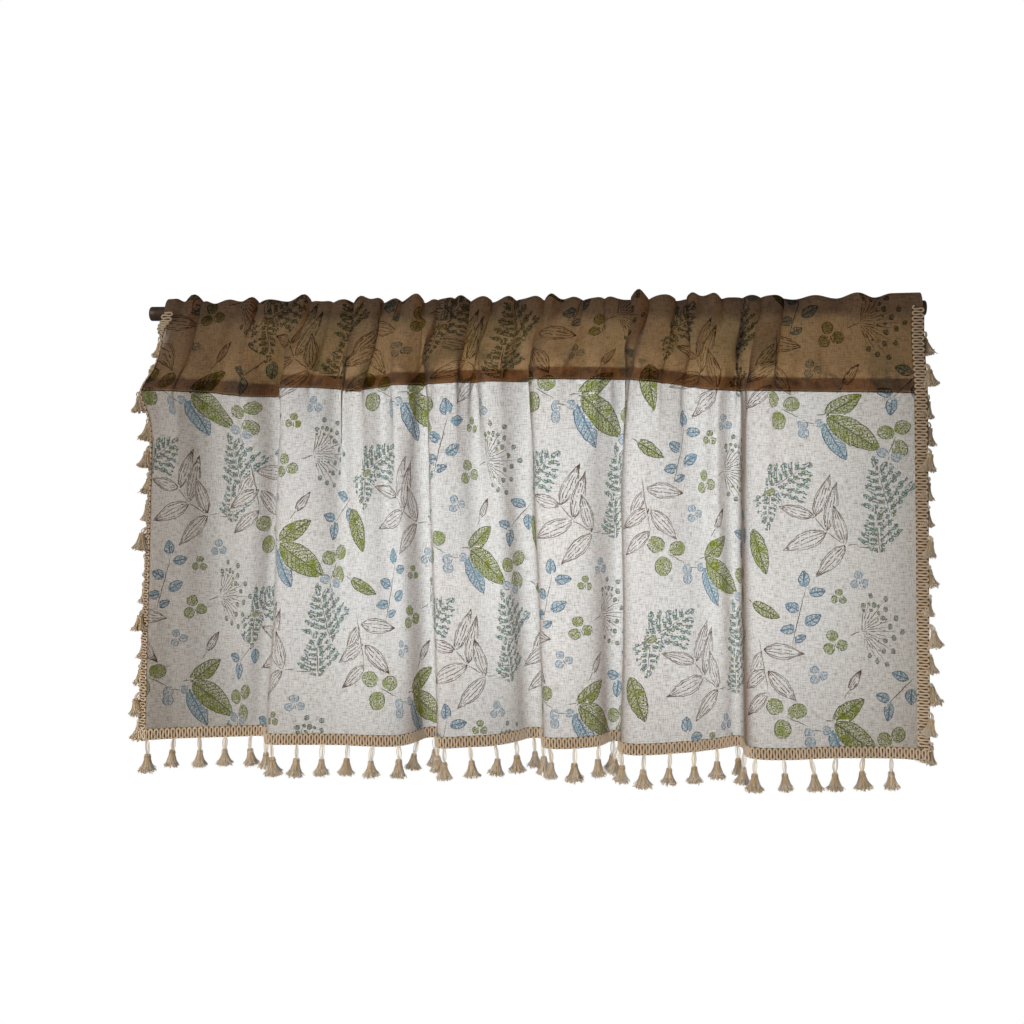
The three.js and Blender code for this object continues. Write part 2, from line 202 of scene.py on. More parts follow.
def ring_mesh(name, profile, sides):
    """A turned solid about X through rows of (x, radius) in mm, closed flat at both ends."""
    turns = np.arange(sides) * FULL_TURN / sides
    rows = [[(x * MM, r * MM * math.cos(a), r * MM * math.sin(a)) for a in turns] for x, r in profile]
    points = [p for row in rows for p in row]
    faces = []
    for i in range(len(rows) - 1):
        for j in range(sides):
            k = (j + 1) % sides
            faces.append((i * sides + j, i * sides + k, (i + 1) * sides + k, (i + 1) * sides + j))
    faces.append(tuple(reversed(range(sides))))
    faces.append(tuple(range((len(rows) - 1) * sides, len(rows) * sides)))
    mesh = bpy.data.meshes.new(name)
    mesh.from_pydata(points, [], faces)
    mesh.update()
    return mesh


left_end = rod_low.x / MM
right_end = rod_high.x / MM
soft_end = [
    (ROD_CHAMFER * (1 - math.sin(a)), ROD_RADIUS - ROD_CHAMFER * (1 - math.cos(a)))
    for a in np.linspace(math.pi / 2, 0, 5)
]
cap_line = [
    (ROD_CAP - CAP_GROOVE, ROD_RADIUS),
    (ROD_CAP, ROD_RADIUS - CAP_GROOVE),
    (ROD_CAP + CAP_GROOVE, ROD_RADIUS),
]
end_rows = [(0.0, ROD_RADIUS - ROD_CHAMFER)] + soft_end[1:] + cap_line
rod_rows = [(left_end + x, r) for x, r in end_rows] + [(right_end - x, r) for x, r in reversed(end_rows)]
rod_mesh = ring_mesh("rod", rod_rows, ROD_SIDES)
for face in rod_mesh.polygons:
    face.use_smooth = len(face.vertices) == 4

# Satin paint on steel: dark brown, with a faint orange-peel grain and thin wear where the cloth slides.
bronze, tree = new_material("satin_bronze_paint")
place = add_node(tree, PLACE).outputs["Object"]
wear = add_node(tree, NOISE, {
    "Vector": place, "Scale": 1 / WEAR_PATCH, "Detail": 6.0, "Roughness": 0.6,
})
wear_share = add_node(tree, RANGE, {0: wear, 1: 0.56, 2: 0.78})
bronze_colour = add_node(tree, MIX, {
    0: wear_share, 6: linear(BRONZE_PAINT), 7: linear(BRONZE_WORN),
}, data_type="RGBA")
bronze_rough = add_node(tree, RANGE, {0: wear, 3: 0.34, 4: 0.55})
peel = add_node(tree, NOISE, {"Vector": place, "Scale": 1 / PEEL_GRAIN})
peel_bump = add_node(tree, BUMP, {"Height": peel, "Strength": 0.12, "Distance": 0.05 * MM})
bronze_shader = add_node(tree, PRINCIPLED, {
    "Base Color": bronze_colour, "Roughness": bronze_rough,
    "Normal": peel_bump, "Metallic": 0.25, "IOR": 1.5,
})
add_node(tree, SURFACE_OUT, {"Surface": bronze_shader})
rod_mesh.materials.append(bronze)
rod = add_object("bronze_rod", rod_mesh)
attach(rod, "root")
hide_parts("rod")

# Cloth
# One panel of plain-woven linen, turned over the rod to the back and sewn down as a deep casing.
# The raw edge is turned in under the casing's seam, which shows as a darker strip against the light.
CLOTH = 1.2
ROD_GAP = 0.3
ROD_EDGE_LEFT = -368
ROD_EDGE_RIGHT = 398
POCKET_Z = -60
SEAM_Z = -80
HEM_Z = -440
CORNER_FLARE = 14
CORNER_FLARE_HEIGHT = 24
CORNER_FLARE_WIDTH = 45
EDGE_TURN = 14
EDGE_TURN_ANGLE = math.radians(52)
EDGE_TURN_CLEAR = 1.5
EDGE_TURN_EASE = 16
TURN_IN = 14
TURN_IN_ROWS = 6
OVER_ROWS = 13
CASING_SIDES = 8
CELL = 2.55
BEND_STEP = 6
BEND_WEIGHTS = (1 / 16, 4 / 16, 6 / 16, 4 / 16, 1 / 16)
NOISE_LATTICE = (96, 320)
NOISE_START = (20, 40)

# Plan of the folds, a row for each ridge and hollow from left to right, in mm:
# where it lies at the casing seam (head_x, head_y) and at the hem (hem_x, hem_y).
FOLDS = (
    (-389, -14, -400, -24), (-354, -22, -352, -9), (-314, 5, -308, 1), (-276, -20, -287, 6),
    (-250, 5, -273, 9), (-240, 1, -264, 3), (-236, -26, -258, -27), (-205, -23, -215, -24),
    (-183, 2, -178, -21), (-166, -18, -155, -22), (-144, 4, -124, -19), (-128, -19, -109, -4),
    (-107, 7, -97, 18), (-96, 5, -85, 18), (-92, -26, -81, -25), (-66, -19, -52, -19),
    (-50, 1, -25, -11), (-32, -20, -4, 8), (-1, 6, 9, 26), (10, 5, 22, 26),
    (14, -26, 27, -16), (66, -15, 78, -4), (95, 6, 92, 22), (106, 5, 104, 22),
    (110, -28, 108, -29), (150, -13, 165, -18), (182, 6, 192, -6), (197, -13, 209, 6),
    (209, 7, 217, 14), (219, 5, 228, 10), (223, -30, 232, -35), (300, -21, 318, -26),
    (373, -19, 378, -24), (399, -25, 400, -30),
)
# Gathers bunched on the rod, in mm: where each ridge stands and how far it lifts off the rod.
GATHERS = (
    (-362, 5), (-346, 9), (-326, 8), (-300, 4), (-276, 6), (-252, 5), (-219, 10), (-186, 6), (-167, 7),
    (-147, 6), (-127, 7), (-108, 8), (-93, 6), (-65, 10), (-40, 5), (-14, 9), (7, 6), (24, 8), (43, 5),
    (72, 6), (107, 11), (133, 5), (171, 10), (192, 6), (226, 7), (260, 4), (300, 5), (340, 7), (372, 5),
)
head_x, head_y, hem_x, hem_y = np.array(FOLDS, float).T
gather_x, gather_rise = np.array(GATHERS, float).T


def run_along(x, y):
    """Distance along a row of points."""
    return np.concatenate([[0], np.cumsum(np.hypot(np.diff(x), np.diff(y)))])


flat_at = (run_along(head_x, head_y) + run_along(hem_x, hem_y)) / 2
FLAT_WIDTH = flat_at[-1]


def fold_curve(column, flat):
    """One column of the fold table as a curve, at distances across the flat cloth."""
    last = len(flat_at) - 1
    rows = np.arange(last + 1)
    before = np.maximum(rows - 1, 0)
    after = np.minimum(rows + 1, last)
    slope = (column[after] - column[before]) / (flat_at[after] - flat_at[before])
    right = np.clip(np.searchsorted(flat_at, flat), 1, last)
    left = right - 1
    span = flat_at[right] - flat_at[left]
    t = (flat - flat_at[left]) / span
    return (
        (1 + 2 * t) * (1 - t) ** 2 * column[left] + t * t * (3 - 2 * t) * column[right]
        + t * (1 - t) ** 2 * span * slope[left] + t * t * (t - 1) * span * slope[right]
    )


def fold_value(column, flat):
    """The same curve rounded at its bends, and run straight on past both edges."""
    total = np.zeros_like(flat)
    for i, weight in enumerate(BEND_WEIGHTS):
        at = flat + (i - len(BEND_WEIGHTS) // 2) * BEND_STEP
        edge = np.clip(at, 0, FLAT_WIDTH)
        inside = fold_curve(column, 2 * edge - at)
        total += weight * np.where(at == edge, inside, 2 * fold_curve(column, edge) - inside)
    return total


def soft_noise(across, down, cell_across, cell_down, seed):
    """Smooth random values from -1 to 1 on a lattice of real cell sizes in mm."""
    lattice = np.random.default_rng(seed).uniform(-1, 1, NOISE_LATTICE)
    rows, columns = NOISE_LATTICE
    x = np.asarray(across) / cell_across + NOISE_START[0]
    y = np.asarray(down) / cell_down + NOISE_START[1]
    i = np.floor(x).astype(int)
    j = np.floor(y).astype(int)
    fx = x - i
    fy = y - j
    fx = fx * fx * (3 - 2 * fx)
    fy = fy * fy * (3 - 2 * fy)
    left = i % columns
    right = (i + 1) % columns
    near = lattice[j % rows, left] * (1 - fx) + lattice[j % rows, right] * fx
    far = lattice[(j + 1) % rows, left] * (1 - fx) + lattice[(j + 1) % rows, right] * fx
    return near * (1 - fy) + far * fy


# Creases in the hung cloth, in mm: how deep each kind is, and the size it repeats at across and down.
CREASES = {
    "slack": {"deep": 3.0, "across": 62, "down": 160, "seed": 3},
    "ripple": {"deep": 2.3, "across": 17, "down": 210, "seed": 5},
    "pleat": {"deep": 5.5, "across": 24, "down": 110, "seed": 9},
    "crumple": {"deep": 1.4, "across": 12, "down": 26, "seed": 7},
    "pucker": {"deep": 0.8, "across": 6, "down": 60, "seed": 11},
    "gather": {"deep": 3.2, "across": 11, "down": 90, "seed": 17},
}
# How far below the rod and from the side edges they set in, and how far three of the kinds reach, in mm.
CREASE_BELOW_ROD = 18
CREASE_FROM_EDGE = 30
PLEAT_BELOW_SEAM = 70
PLEAT_FADE = 80
PUCKER_REACH = 14
GATHER_REACH = 55


def crease_depth(flat, z):
    """How far the small creases push the cloth to the room, in mm."""
    depth = {
        name: kind["deep"] * soft_noise(flat, z, kind["across"], kind["down"], kind["seed"])
        for name, kind in CREASES.items()
    }
    below = np.clip((SEAM_Z - z) / (SEAM_Z - HEM_Z), 0, 1)
    hung = np.clip((-z - ROD_RADIUS) / CREASE_BELOW_ROD, 0, 1)
    edge = np.clip(np.minimum(flat, FLAT_WIDTH - flat) / CREASE_FROM_EDGE, 0, 1)
    heading = np.clip((z - SEAM_Z + PLEAT_BELOW_SEAM) / PLEAT_FADE, 0, 1)
    seam = np.exp(-((z - SEAM_Z) / PUCKER_REACH) ** 2)
    bunched = np.exp(np.minimum(z, 0) / GATHER_REACH)
    sharp = CREASES["pleat"]["deep"] - 2 * np.abs(depth["pleat"])
    narrow = CREASES["gather"]["deep"] - 2 * np.abs(depth["gather"])
    return hung * edge * (
        depth["slack"] + depth["ripple"] * (1 - 0.8 * below) + (sharp + depth["crumple"]) * heading
        + depth["pucker"] * seam + narrow * bunched
    )


# How far the seam rides up at each row of the fold table, in mm, how far up and down that reaches,
# and over what height it sets in below the rod.
SEAM_RIDE = (
    -1, -2, -4, -8, -8, -6, 1, 1, -1, -3, 2, 4, 4, 4, 4, 6, 6,
    7, 7, 8, 9, 9, 9, 9, 8, 4, 0, -2, -2, -3, -3, -4, -5, -6,
)
SEAM_RIDE_REACH = 46
SEAM_RIDE_EASE = 40


def hung_height(flat, z):
    """The height that cloth meant for z really hangs at, near the seam."""
    ride = np.interp(flat, flat_at, SEAM_RIDE)
    below_rod = np.clip(-z / SEAM_RIDE_EASE, 0, 1)
    return z + ride * np.exp(-((z - SEAM_Z) / SEAM_RIDE_REACH) ** 2) * below_rod


# On the rod the cloth lies near the folds that hang from it, evened out over this reach, in mm.
ROD_EASE = 70
rod_flat = np.linspace(0, FLAT_WIDTH, 240)
ease_steps = np.linspace(-ROD_EASE, ROD_EASE, 15)
rod_ease = np.mean([fold_value(head_x, rod_flat + step) for step in ease_steps], axis=0)
rod_share = (rod_ease - rod_ease[0]) / (rod_ease[-1] - rod_ease[0])


def rod_x(flat):
    """Where a place across the flat cloth lies along the rod."""
    return ROD_EDGE_LEFT + (ROD_EDGE_RIGHT - ROD_EDGE_LEFT) * np.interp(flat, rod_flat, rod_share)


def fold_plan(flat, z):
    """The middle of the hanging cloth seen from above, in mm."""
    top_x = fold_value(head_x, flat)
    top_y = fold_value(head_y, flat)
    flare = CORNER_FLARE * np.exp(-((z - SEAM_Z) / CORNER_FLARE_HEIGHT) ** 2 - flat / CORNER_FLARE_WIDTH)
    gathered = np.clip(z / SEAM_Z, 0, 1)
    fallen = np.clip((SEAM_Z - z) / (SEAM_Z - HEM_Z), 0, 1)
    in_heading = z > SEAM_Z
    heading_x = rod_x(flat) + (top_x - rod_x(flat)) * gathered
    heading_y = top_y * gathered ** 2 * (3 - 2 * gathered)
    x = np.where(in_heading, heading_x, top_x + (fold_value(hem_x, flat) - top_x) * fallen)
    y = np.where(in_heading, heading_y, top_y + (fold_value(hem_y, flat) - top_y) * fallen)
    turned = np.clip(EDGE_TURN - flat, 0, None)
    turn = EDGE_TURN_ANGLE * np.clip((-z - ROD_RADIUS - EDGE_TURN_CLEAR) / EDGE_TURN_EASE, 0, 1)
    return x - flare + turned * (1 - np.cos(turn)), y + turned * np.sin(turn)


def cloth_point(flat, z, towards_room, along=0.0):
    """A point set off from the middle of the cloth, in mm, as arrays of x, y, z in their last place."""
    flat, z, towards_room = np.broadcast_arrays(*(np.asarray(a, float) for a in (flat, z, towards_room)))
    step = 0.5
    low_x, low_y = fold_plan(np.maximum(flat - step, 0), z)
    high_x, high_y = fold_plan(np.minimum(flat + step, FLAT_WIDTH), z)
    x, y = fold_plan(flat, z)
    run = np.hypot(high_x - low_x, high_y - low_y)
    dx = (high_x - low_x) / run
    dy = (high_y - low_y) / run
    out = towards_room + crease_depth(flat, z)
    x = x + tuck_move(flat, z)
    return np.stack([x + dy * out + dx * along, y - dx * out + dy * along, hung_height(flat, z)], axis=-1)


# Tucks bunched on the rod, which take up what the cloth is wider than its place there: how many, how deep
# in mm, how uneven, what share of its rise the top loses beside them, and how far that reaches in mm.
TUCKS = 24
TUCK_DEEP = 2.4
TUCK_UNEVEN = 0.6
TUCK_DIP = 0.7
TUCK_DIP_WIDE = 6
TUCK_ROUNDING = (-3, -1.5, 0, 1.5, 3)
TUCK_FADE_Z = (SEAM_Z - 100, SEAM_Z, -20)
TUCK_FADE = (0, 0.4, 1)
GATHER_SHARE = 0.8
tuck_rng = np.random.default_rng(23)
slack_taken = np.maximum.accumulate(rod_flat - (rod_x(rod_flat) - ROD_EDGE_LEFT))
tuck_share = tuck_rng.uniform(1 - TUCK_UNEVEN, 1 + TUCK_UNEVEN, TUCKS)
tuck_back = tuck_share / tuck_share.sum() * slack_taken[-1] / 2
tuck_turn = (np.arange(TUCKS) + 0.5 + tuck_rng.uniform(-0.15, 0.15, TUCKS)) / TUCKS
tuck_at = np.interp(tuck_turn * slack_taken[-1], slack_taken, rod_flat)
tuck_side = np.where(tuck_rng.random(TUCKS) < 0.5, -1, 1)
tuck_knots = np.stack([tuck_at - tuck_back / 2, tuck_at + tuck_back / 2], axis=-1).ravel()
tuck_lifts = np.stack([tuck_side * -TUCK_DEEP, tuck_side * TUCK_DEEP], axis=-1).ravel()
tuck_moves = np.interp(tuck_knots, rod_flat, slack_taken) - 2 * np.repeat(np.cumsum(tuck_back), 2)
tuck_moves[::2] += 2 * tuck_back


def tucked(flat, values, ends):
    """Values held at the tucks' edges, run straight between them and rounded a little."""
    knots = np.concatenate([[0], tuck_knots, [FLAT_WIDTH]])
    held = np.concatenate([[ends], values, [ends]])
    return sum(np.interp(flat + step, knots, held) for step in TUCK_ROUNDING) / len(TUCK_ROUNDING)


def tuck_move(flat, z):
    """How far the tucks push the cloth along the rod, most at the rod and fading below the seam."""
    return tucked(flat, tuck_moves, 0.0) * np.interp(z, TUCK_FADE_Z, TUCK_FADE)


def rod_spread(flat):
    """How far the gathered casing stands off the rod's axis, at the cloth's middle."""
    x = rod_x(flat)
    right = np.clip(np.searchsorted(gather_x, x), 1, len(gather_x) - 1)
    left = right - 1
    t = np.clip((x - gather_x[left]) / (gather_x[right] - gather_x[left]), 0, 1)
    rise = np.where(t < 0.5, gather_rise[left], gather_rise[right])
    # A casing of flat sides lies near the rod at their middles and stands further off at its corners.
    tight = (ROD_RADIUS + ROD_GAP) / math.cos(math.pi / CASING_SIDES) + CLOTH / 2
    lift = TUCK_DEEP + tucked(flat, tuck_lifts, 0.0)
    from_tuck = np.min(np.abs(np.asarray(flat)[..., None] - tuck_knots), axis=-1)
    rounded = 1 - TUCK_DIP * np.exp(-(from_tuck / TUCK_DIP_WIDE) ** 2)
    return tight + (GATHER_SHARE * rise * (0.5 + 0.5 * np.cos(FULL_TURN * t)) + lift) * rounded


def layer_spread(flat, z):
    """Half the distance between the casing's two layers, at their middles."""
    open_share = np.clip((z - POCKET_Z) / -POCKET_Z, 0, 1)
    return CLOTH / 2 + (rod_spread(flat) - CLOTH / 2) * open_share


def grid_mesh(name, points):
    """A sheet of quads through rows of points in mm."""
    rows, columns = points.shape[:2]
    ids = np.arange(rows * columns).reshape(rows, columns)
    quads = np.stack([ids[:-1, :-1], ids[:-1, 1:], ids[1:, 1:], ids[1:, :-1]], axis=-1).reshape(-1, 4)
    mesh = bpy.data.meshes.new(name)
    mesh.from_pydata((points.reshape(-1, 3) * MM).tolist(), [], quads.tolist())
    mesh.polygons.foreach_set("use_smooth", np.ones(len(quads), bool))
    mesh.update()
    return mesh, quads


flat_columns = np.linspace(0, FLAT_WIDTH, round(FLAT_WIDTH / CELL) + 1)
front_z = np.linspace(HEM_Z, 0, round(-HEM_Z / CELL) + 1)
over_angles = np.linspace(0, math.pi, OVER_ROWS)[1:-1]
back_z = np.linspace(0, SEAM_Z + 1, round(-SEAM_Z / CELL) + 1)
turned_z = np.linspace(SEAM_Z + 0.3, SEAM_Z + TURN_IN, TURN_IN_ROWS)
across = flat_columns[None, :]
front = cloth_point(across, front_z[:, None], layer_spread(across, front_z[:, None]))
reach = rod_spread(across)
over = np.stack(np.broadcast_arrays(
    rod_x(across) + tuck_move(across, 0.0),
    -reach * np.cos(over_angles[:, None]), reach * np.sin(over_angles[:, None]),
), axis=-1)
back = cloth_point(across, back_z[:, None], -layer_spread(across, back_z[:, None]))
turned = cloth_point(across, turned_z[:, None], 0.0)
cloth_points = np.concatenate([front, over, back, turned])
over_length = math.pi * (ROD_RADIUS + CLOTH)
row_length = np.concatenate([
    front_z - HEM_Z,
    -HEM_Z + over_length * over_angles / math.pi,
    -HEM_Z + over_length - back_z,
    -HEM_Z + over_length - SEAM_Z + turned_z - SEAM_Z,
])
FLAT_LENGTH = row_length[-1]
cloth_mesh, cloth_quads = grid_mesh("linen_curtain", cloth_points)

# The flat cloth is the print's map, in metres from the left edge and from the hem.
flat_u, flat_v = np.broadcast_arrays(flat_columns[None, :], row_length[:, None])
flat_map = np.stack([flat_u.ravel(), flat_v.ravel()], axis=-1) * MM
cloth_map = cloth_mesh.uv_layers.new(name="flat_cloth")
cloth_map.data.foreach_set("uv", flat_map[cloth_quads.ravel()].astype(np.float32).ravel())

# Leaf print: every motif is made of leaves, rounds and stems, each drawn in its own place on the flat cloth.
# A drawn piece is (x, y, angle in degrees, length, width, ink), in mm from the motif's middle.
INKS = ("bare", "green", "blue", "brown_line", "stem", "green_round", "blue_ring", "teal_berry", "fern")
INK = {name: i for i, name in enumerate(INKS)}
OVERLAP = 0.9
LEAF_REACH = 2.4
TWIGS = 7
UMBEL_RAYS = 16


def in_ink(ink, *pieces):
    """Drawn pieces in one ink."""
    return [piece + (ink,) for piece in pieces]


def towards(x, y, angle, length):
    """The point that lies a length away from another, at an angle in degrees."""
    return x + length * math.cos(math.radians(angle)), y + length * math.sin(math.radians(angle))


def frond(x, y, angle, length, half_wide):
    """A fern frond: a stem with twigs that shorten towards its tip, on both sides."""
    drawn = in_ink("fern", (*towards(x, y, angle, length * 0.72), angle, length * 0.32, 7.5))
    for i in range(TWIGS):
        share = 0.02 + 0.8 * i / TWIGS
        at = towards(x, y, angle, length * share)
        twig = half_wide * 1.35 * (1 - share) + 4
        spread = 42 + 7 * (i * 5 % 3)
        right = (*at, angle - spread, twig * 1.15, 7.4)
        left = (*at, angle + spread + 6, twig * 0.85, 7.4)
        drawn += in_ink("fern", right, left)
    return drawn + in_ink("stem", (x, y, angle, length * 0.8, 0.8))


def umbel():
    """A berry head: thin rays from one point, with a berry at each tip and a smaller one inside."""
    drawn = in_ink("stem", (-12, -5, 22, 13, 0.8))
    for i in range(UMBEL_RAYS):
        angle = -74 + 158 * i / (UMBEL_RAYS - 1)
        length = 25 + 15 * ((i * 7) % 5) / 4
        x, y = towards(0, 0, angle, length)
        drawn += in_ink("stem", (0, 0, angle, length * 0.92, 0.7))
        drawn += in_ink("green_round" if i % 3 else "teal_berry", (x * 0.66, y * 0.66 + 2.8, 30, 3.2, 3.0))
        drawn += in_ink("teal_berry", (x - 2.2, y, 0, 4.6, 4.4))
    return drawn


def three_rounds(ink, size):
    """Three small round leaves on a short stem."""
    rounds = [(*towards(0, 0, angle, 1.2 * size), angle, 7 * size, 6.4 * size) for angle in (85, 205, 325)]
    return in_ink(ink, *rounds) + in_ink("stem", (0, 0, -84, 6 * size, 0.7))


MOTIFS = {
    "leaf_pair": in_ink("blue", (-2, -8, -65, 42, 17), (11, -17, -31, 40, 15))
    + in_ink("green", (0, 0, 35, 39, 17), (2, -1, -38, 57, 25))
    + in_ink("stem", (-8, 1, 6, 9, 0.9)),
    "line_spray": in_ink(
        "brown_line", (-11, 15, 67, 45, 12), (0, 1, 76, 50, 12), (18, -12, 105, 40, 12),
        (-11, 15, 162, 34, 12), (0, 0, 204, 44, 16), (18, -13, 226, 43, 14),
    ) + in_ink("stem", (-11, 15, -54, 19, 0.8), (0, 0, -36, 22, 0.8), (20, -13, 4, 10, 0.7)),
    "small_spray": in_ink(
        "brown_line", (0, 0, -8, 39, 15), (4, -21, -50, 39, 14), (-2, -2, 240, 33, 11),
        (2, -20, 214, 36, 13), (3, -42, 222, 36, 12),
    ) + in_ink("stem", (-5, 11, -81, 57, 0.8)),
    "wide_fern": frond(-15, -8, 32, 52, 22) + frond(-11, -2, -96, 42, 11)
    + in_ink("green_round", (-6, -6, 200, 10, 6)),
    "tall_fern": frond(6, -32, 104, 62, 24) + frond(-6, -66, 94, 46, 18)
    + in_ink("stem", (-26, -60, 0, 18, 0.8)),
    "blue_sprig": in_ink(
        "blue", (0, -11, 90, 16, 10), (4, -17, 8, 15, 9), (-6, -34, 150, 14, 10), (-1, -47, 30, 17, 10),
        (-9, -51, 188, 15, 9), (-12, -64, 25, 13, 7),
    ) + in_ink("stem", (-14, -69, 75, 62, 0.8)),
    "forked_sprig": in_ink(
        "blue", (11, 13, 160, 17, 9), (14, 4, -92, 16, 11), (-8, -8, 160, 15, 9), (-8, -10, -98, 19, 10),
    ) + in_ink("stem", (17, 15, 225, 40, 0.8)),
    "trefoil": in_ink("green_round", (0, 3, 140, 17, 15), (6, 2, 12, 17, 14), (1, -4, -96, 19, 15))
    + in_ink("blue_ring", (24, -12, -90, 11, 9), (24, -21, -90, 11, 9), (35, -16, 0, 8, 8))
    + in_ink("stem", (4, -1, -29, 22, 0.8), (25, -15, -8, 11, 0.8)),
    "turned_trefoil": in_ink("green_round", (0, 1, 150, 16, 14), (3, 4, 54, 16, 13), (2, -3, -74, 19, 14))
    + in_ink("blue_ring", (-6, -19, 150, 11, 9), (-3, -19, -20, 10, 9), (-6, -26, -86, 9, 8))
    + in_ink("stem", (2, 0, -112, 22, 0.8), (-5, -20, -92, 8, 0.8)),
    "berry_umbel": umbel(),
    "small_trefoil": three_rounds("green_round", 1.0),
    "mid_trefoil": three_rounds("green_round", 1.6),
    "blue_trefoil": three_rounds("blue_ring", 1.15),
    "lone_leaf": in_ink("green", (0, 0, 0, 33, 12)) + in_ink("stem", (-7, 0, 0, 8, 0.8)),
    "long_leaf": in_ink("green", (0, 0, 0, 46, 18)),
    "lone_line_leaf": in_ink("brown_line", (9, 0, 0, 25, 8)) + in_ink("stem", (0, 0, 0, 11, 0.7)),
}

# One column of the half-drop repeat: motif, place from the leaf pair's root and turn.
# Each next column is dropped by half a repeat, and the print lies a little off the straight of the cloth.
REPEAT_HIGH = 303
PRINT_ROOT = 33
PRINT_SLANT = 0.026
COLUMN_LEAN = 0.03
COLUMN = (
    ("leaf_pair", 0, 0, 0), ("trefoil", -46, 8, 0), ("forked_sprig", 66, 30, 0),
    ("turned_trefoil", 60, -22, 0), ("wide_fern", -45, -70, 0), ("tall_fern", 52, -72, 0),
    ("line_spray", -3, -117, 0), ("long_leaf", -75, -114, -73), ("blue_sprig", -24, -160, 0),
    ("blue_trefoil", 28, -165, 10), ("small_trefoil", 8, -181, 0), ("lone_leaf", -76, -186, -27),
    ("berry_umbel", 30, -214, 0), ("mid_trefoil", 3, -226, 20), ("small_spray", -63, -231, 0),
    ("blue_trefoil", -13, -257, 30), ("lone_line_leaf", 11, -280, 56),
)
# Where the leaf pairs of each column stand across the cloth, closer where a deep fold takes up more of it.
COLUMN_ROOTS = (-104, 56, 189, 347, 457, 620, 804, 976, 1150)

face_flat = (flat_columns[:-1] + flat_columns[1:]) / 2
face_row = (row_length[:-1] + row_length[1:]) / 2
leaf_place = np.zeros((len(face_row), len(face_flat), 3), np.float32)
leaf_form = np.zeros_like(leaf_place)
leaf_form[..., :2] = 1.0
nearest = np.full(leaf_form.shape[:2], LEAF_REACH)


def draw_leaf(x, y, angle, length, width, ink):
    """Gives the faces in and around one drawn piece its place, turn, size and ink, over any drawn before."""
    turn = math.radians(angle)
    reach = length + 4
    columns = np.flatnonzero(np.abs(face_flat - x) < reach)
    rows = np.flatnonzero(np.abs(face_row - y) < reach)
    if not len(columns) or not len(rows):
        return
    block = np.ix_(rows, columns)
    du = face_flat[columns][None, :] - x
    dv = face_row[rows][:, None] - y
    a = du * math.cos(turn) + dv * math.sin(turn)
    b = dv * math.cos(turn) - du * math.sin(turn)
    t = np.clip(a / length, 0, 1)
    half = width / 2 * np.sqrt(4 * t * (1 - t))
    past = np.maximum(np.maximum(-a, a - length), 0)
    distance = np.maximum(np.abs(b) - half, past)
    closer = (distance < OVERLAP) | (distance < nearest[block])
    nearest[block] = np.where(closer, distance, nearest[block])
    leaf_place[block] = np.where(closer[..., None], (x, y, turn), leaf_place[block])
    leaf_form[block] = np.where(closer[..., None], (length, width, INK[ink]), leaf_form[block])


for column, root in enumerate(COLUMN_ROOTS):
    reach_left = (root - COLUMN_ROOTS[column - 1]) / 2 if column else math.inf
    reach_right = (COLUMN_ROOTS[column + 1] - root) / 2 if column + 1 < len(COLUMN_ROOTS) else math.inf
    drop = (column + 1) % 2 * REPEAT_HIGH / 2
    for repeat in range(math.ceil(FLAT_LENGTH / REPEAT_HIGH) + 2):
        root_y = PRINT_ROOT + PRINT_SLANT * (COLUMN_ROOTS[-2] - root) + repeat * REPEAT_HIGH - drop
        for motif, x, y, turn in COLUMN:
            if not -reach_left - 4 < x < reach_right + 8:
                continue
            c = math.cos(math.radians(turn))
            s = math.sin(math.radians(turn))
            motif_y = root_y + y
            motif_x = root + x + COLUMN_LEAN * (motif_y - REPEAT_HIGH / 2)
            for px, py, angle, length, width, ink in MOTIFS[motif]:
                leaf_x = motif_x + px * c - py * s
                leaf_y = motif_y + px * s + py * c
                draw_leaf(leaf_x, leaf_y, angle + turn, length, width, ink)

for name, values in (("leaf_place", leaf_place), ("leaf_form", leaf_form)):
    layer = cloth_mesh.attributes.new(name, "FLOAT_VECTOR", "FACE")
    layer.data.foreach_set("vector", values.reshape(-1, 3).ravel())

# Printed linen: an off-white slubby weave that the light shines through warm, with matt pigment inks.
# The threads are drawn about twice as coarse as the real half millimetre, so that they show. Sizes are in mm.
THREAD = 1.15
SLUB_LONG = 7.0
SLUB_THIN = 0.85
SLUB_SHOWN = 0.55
SHADE_PATCH = 90.0
PEN_WOBBLE = 1.0
PEN_WOBBLE_SIZE = 6.0
PEN_LINE = 0.7
PEN_SOFT = 0.2
PEN_PATCH = 11.0
VEIN_PITCH = 5.0
VEIN_SLANT = 0.9
DASH_BREAK = 4.0
STIPPLE = 1.35
FERN_LEAF = 2.5
FERN_LEAF_STRETCH = 0.62
FERN_LEAF_SLANT = 0.75
FERN_MINT = "#c2e6da"
FERN_OLIVE = "#a8b25c"
LINEN_PALE = "#f3efe8"
LINEN_SLUB = "#a89f90"
LINEN_COOL = "#e8e8e6"
SHINE_THROUGH = 0.93
THROUGH_TINT = "#d1aa79"
INK_TINT = "#b09167"
INK_DEPTH = 0.5
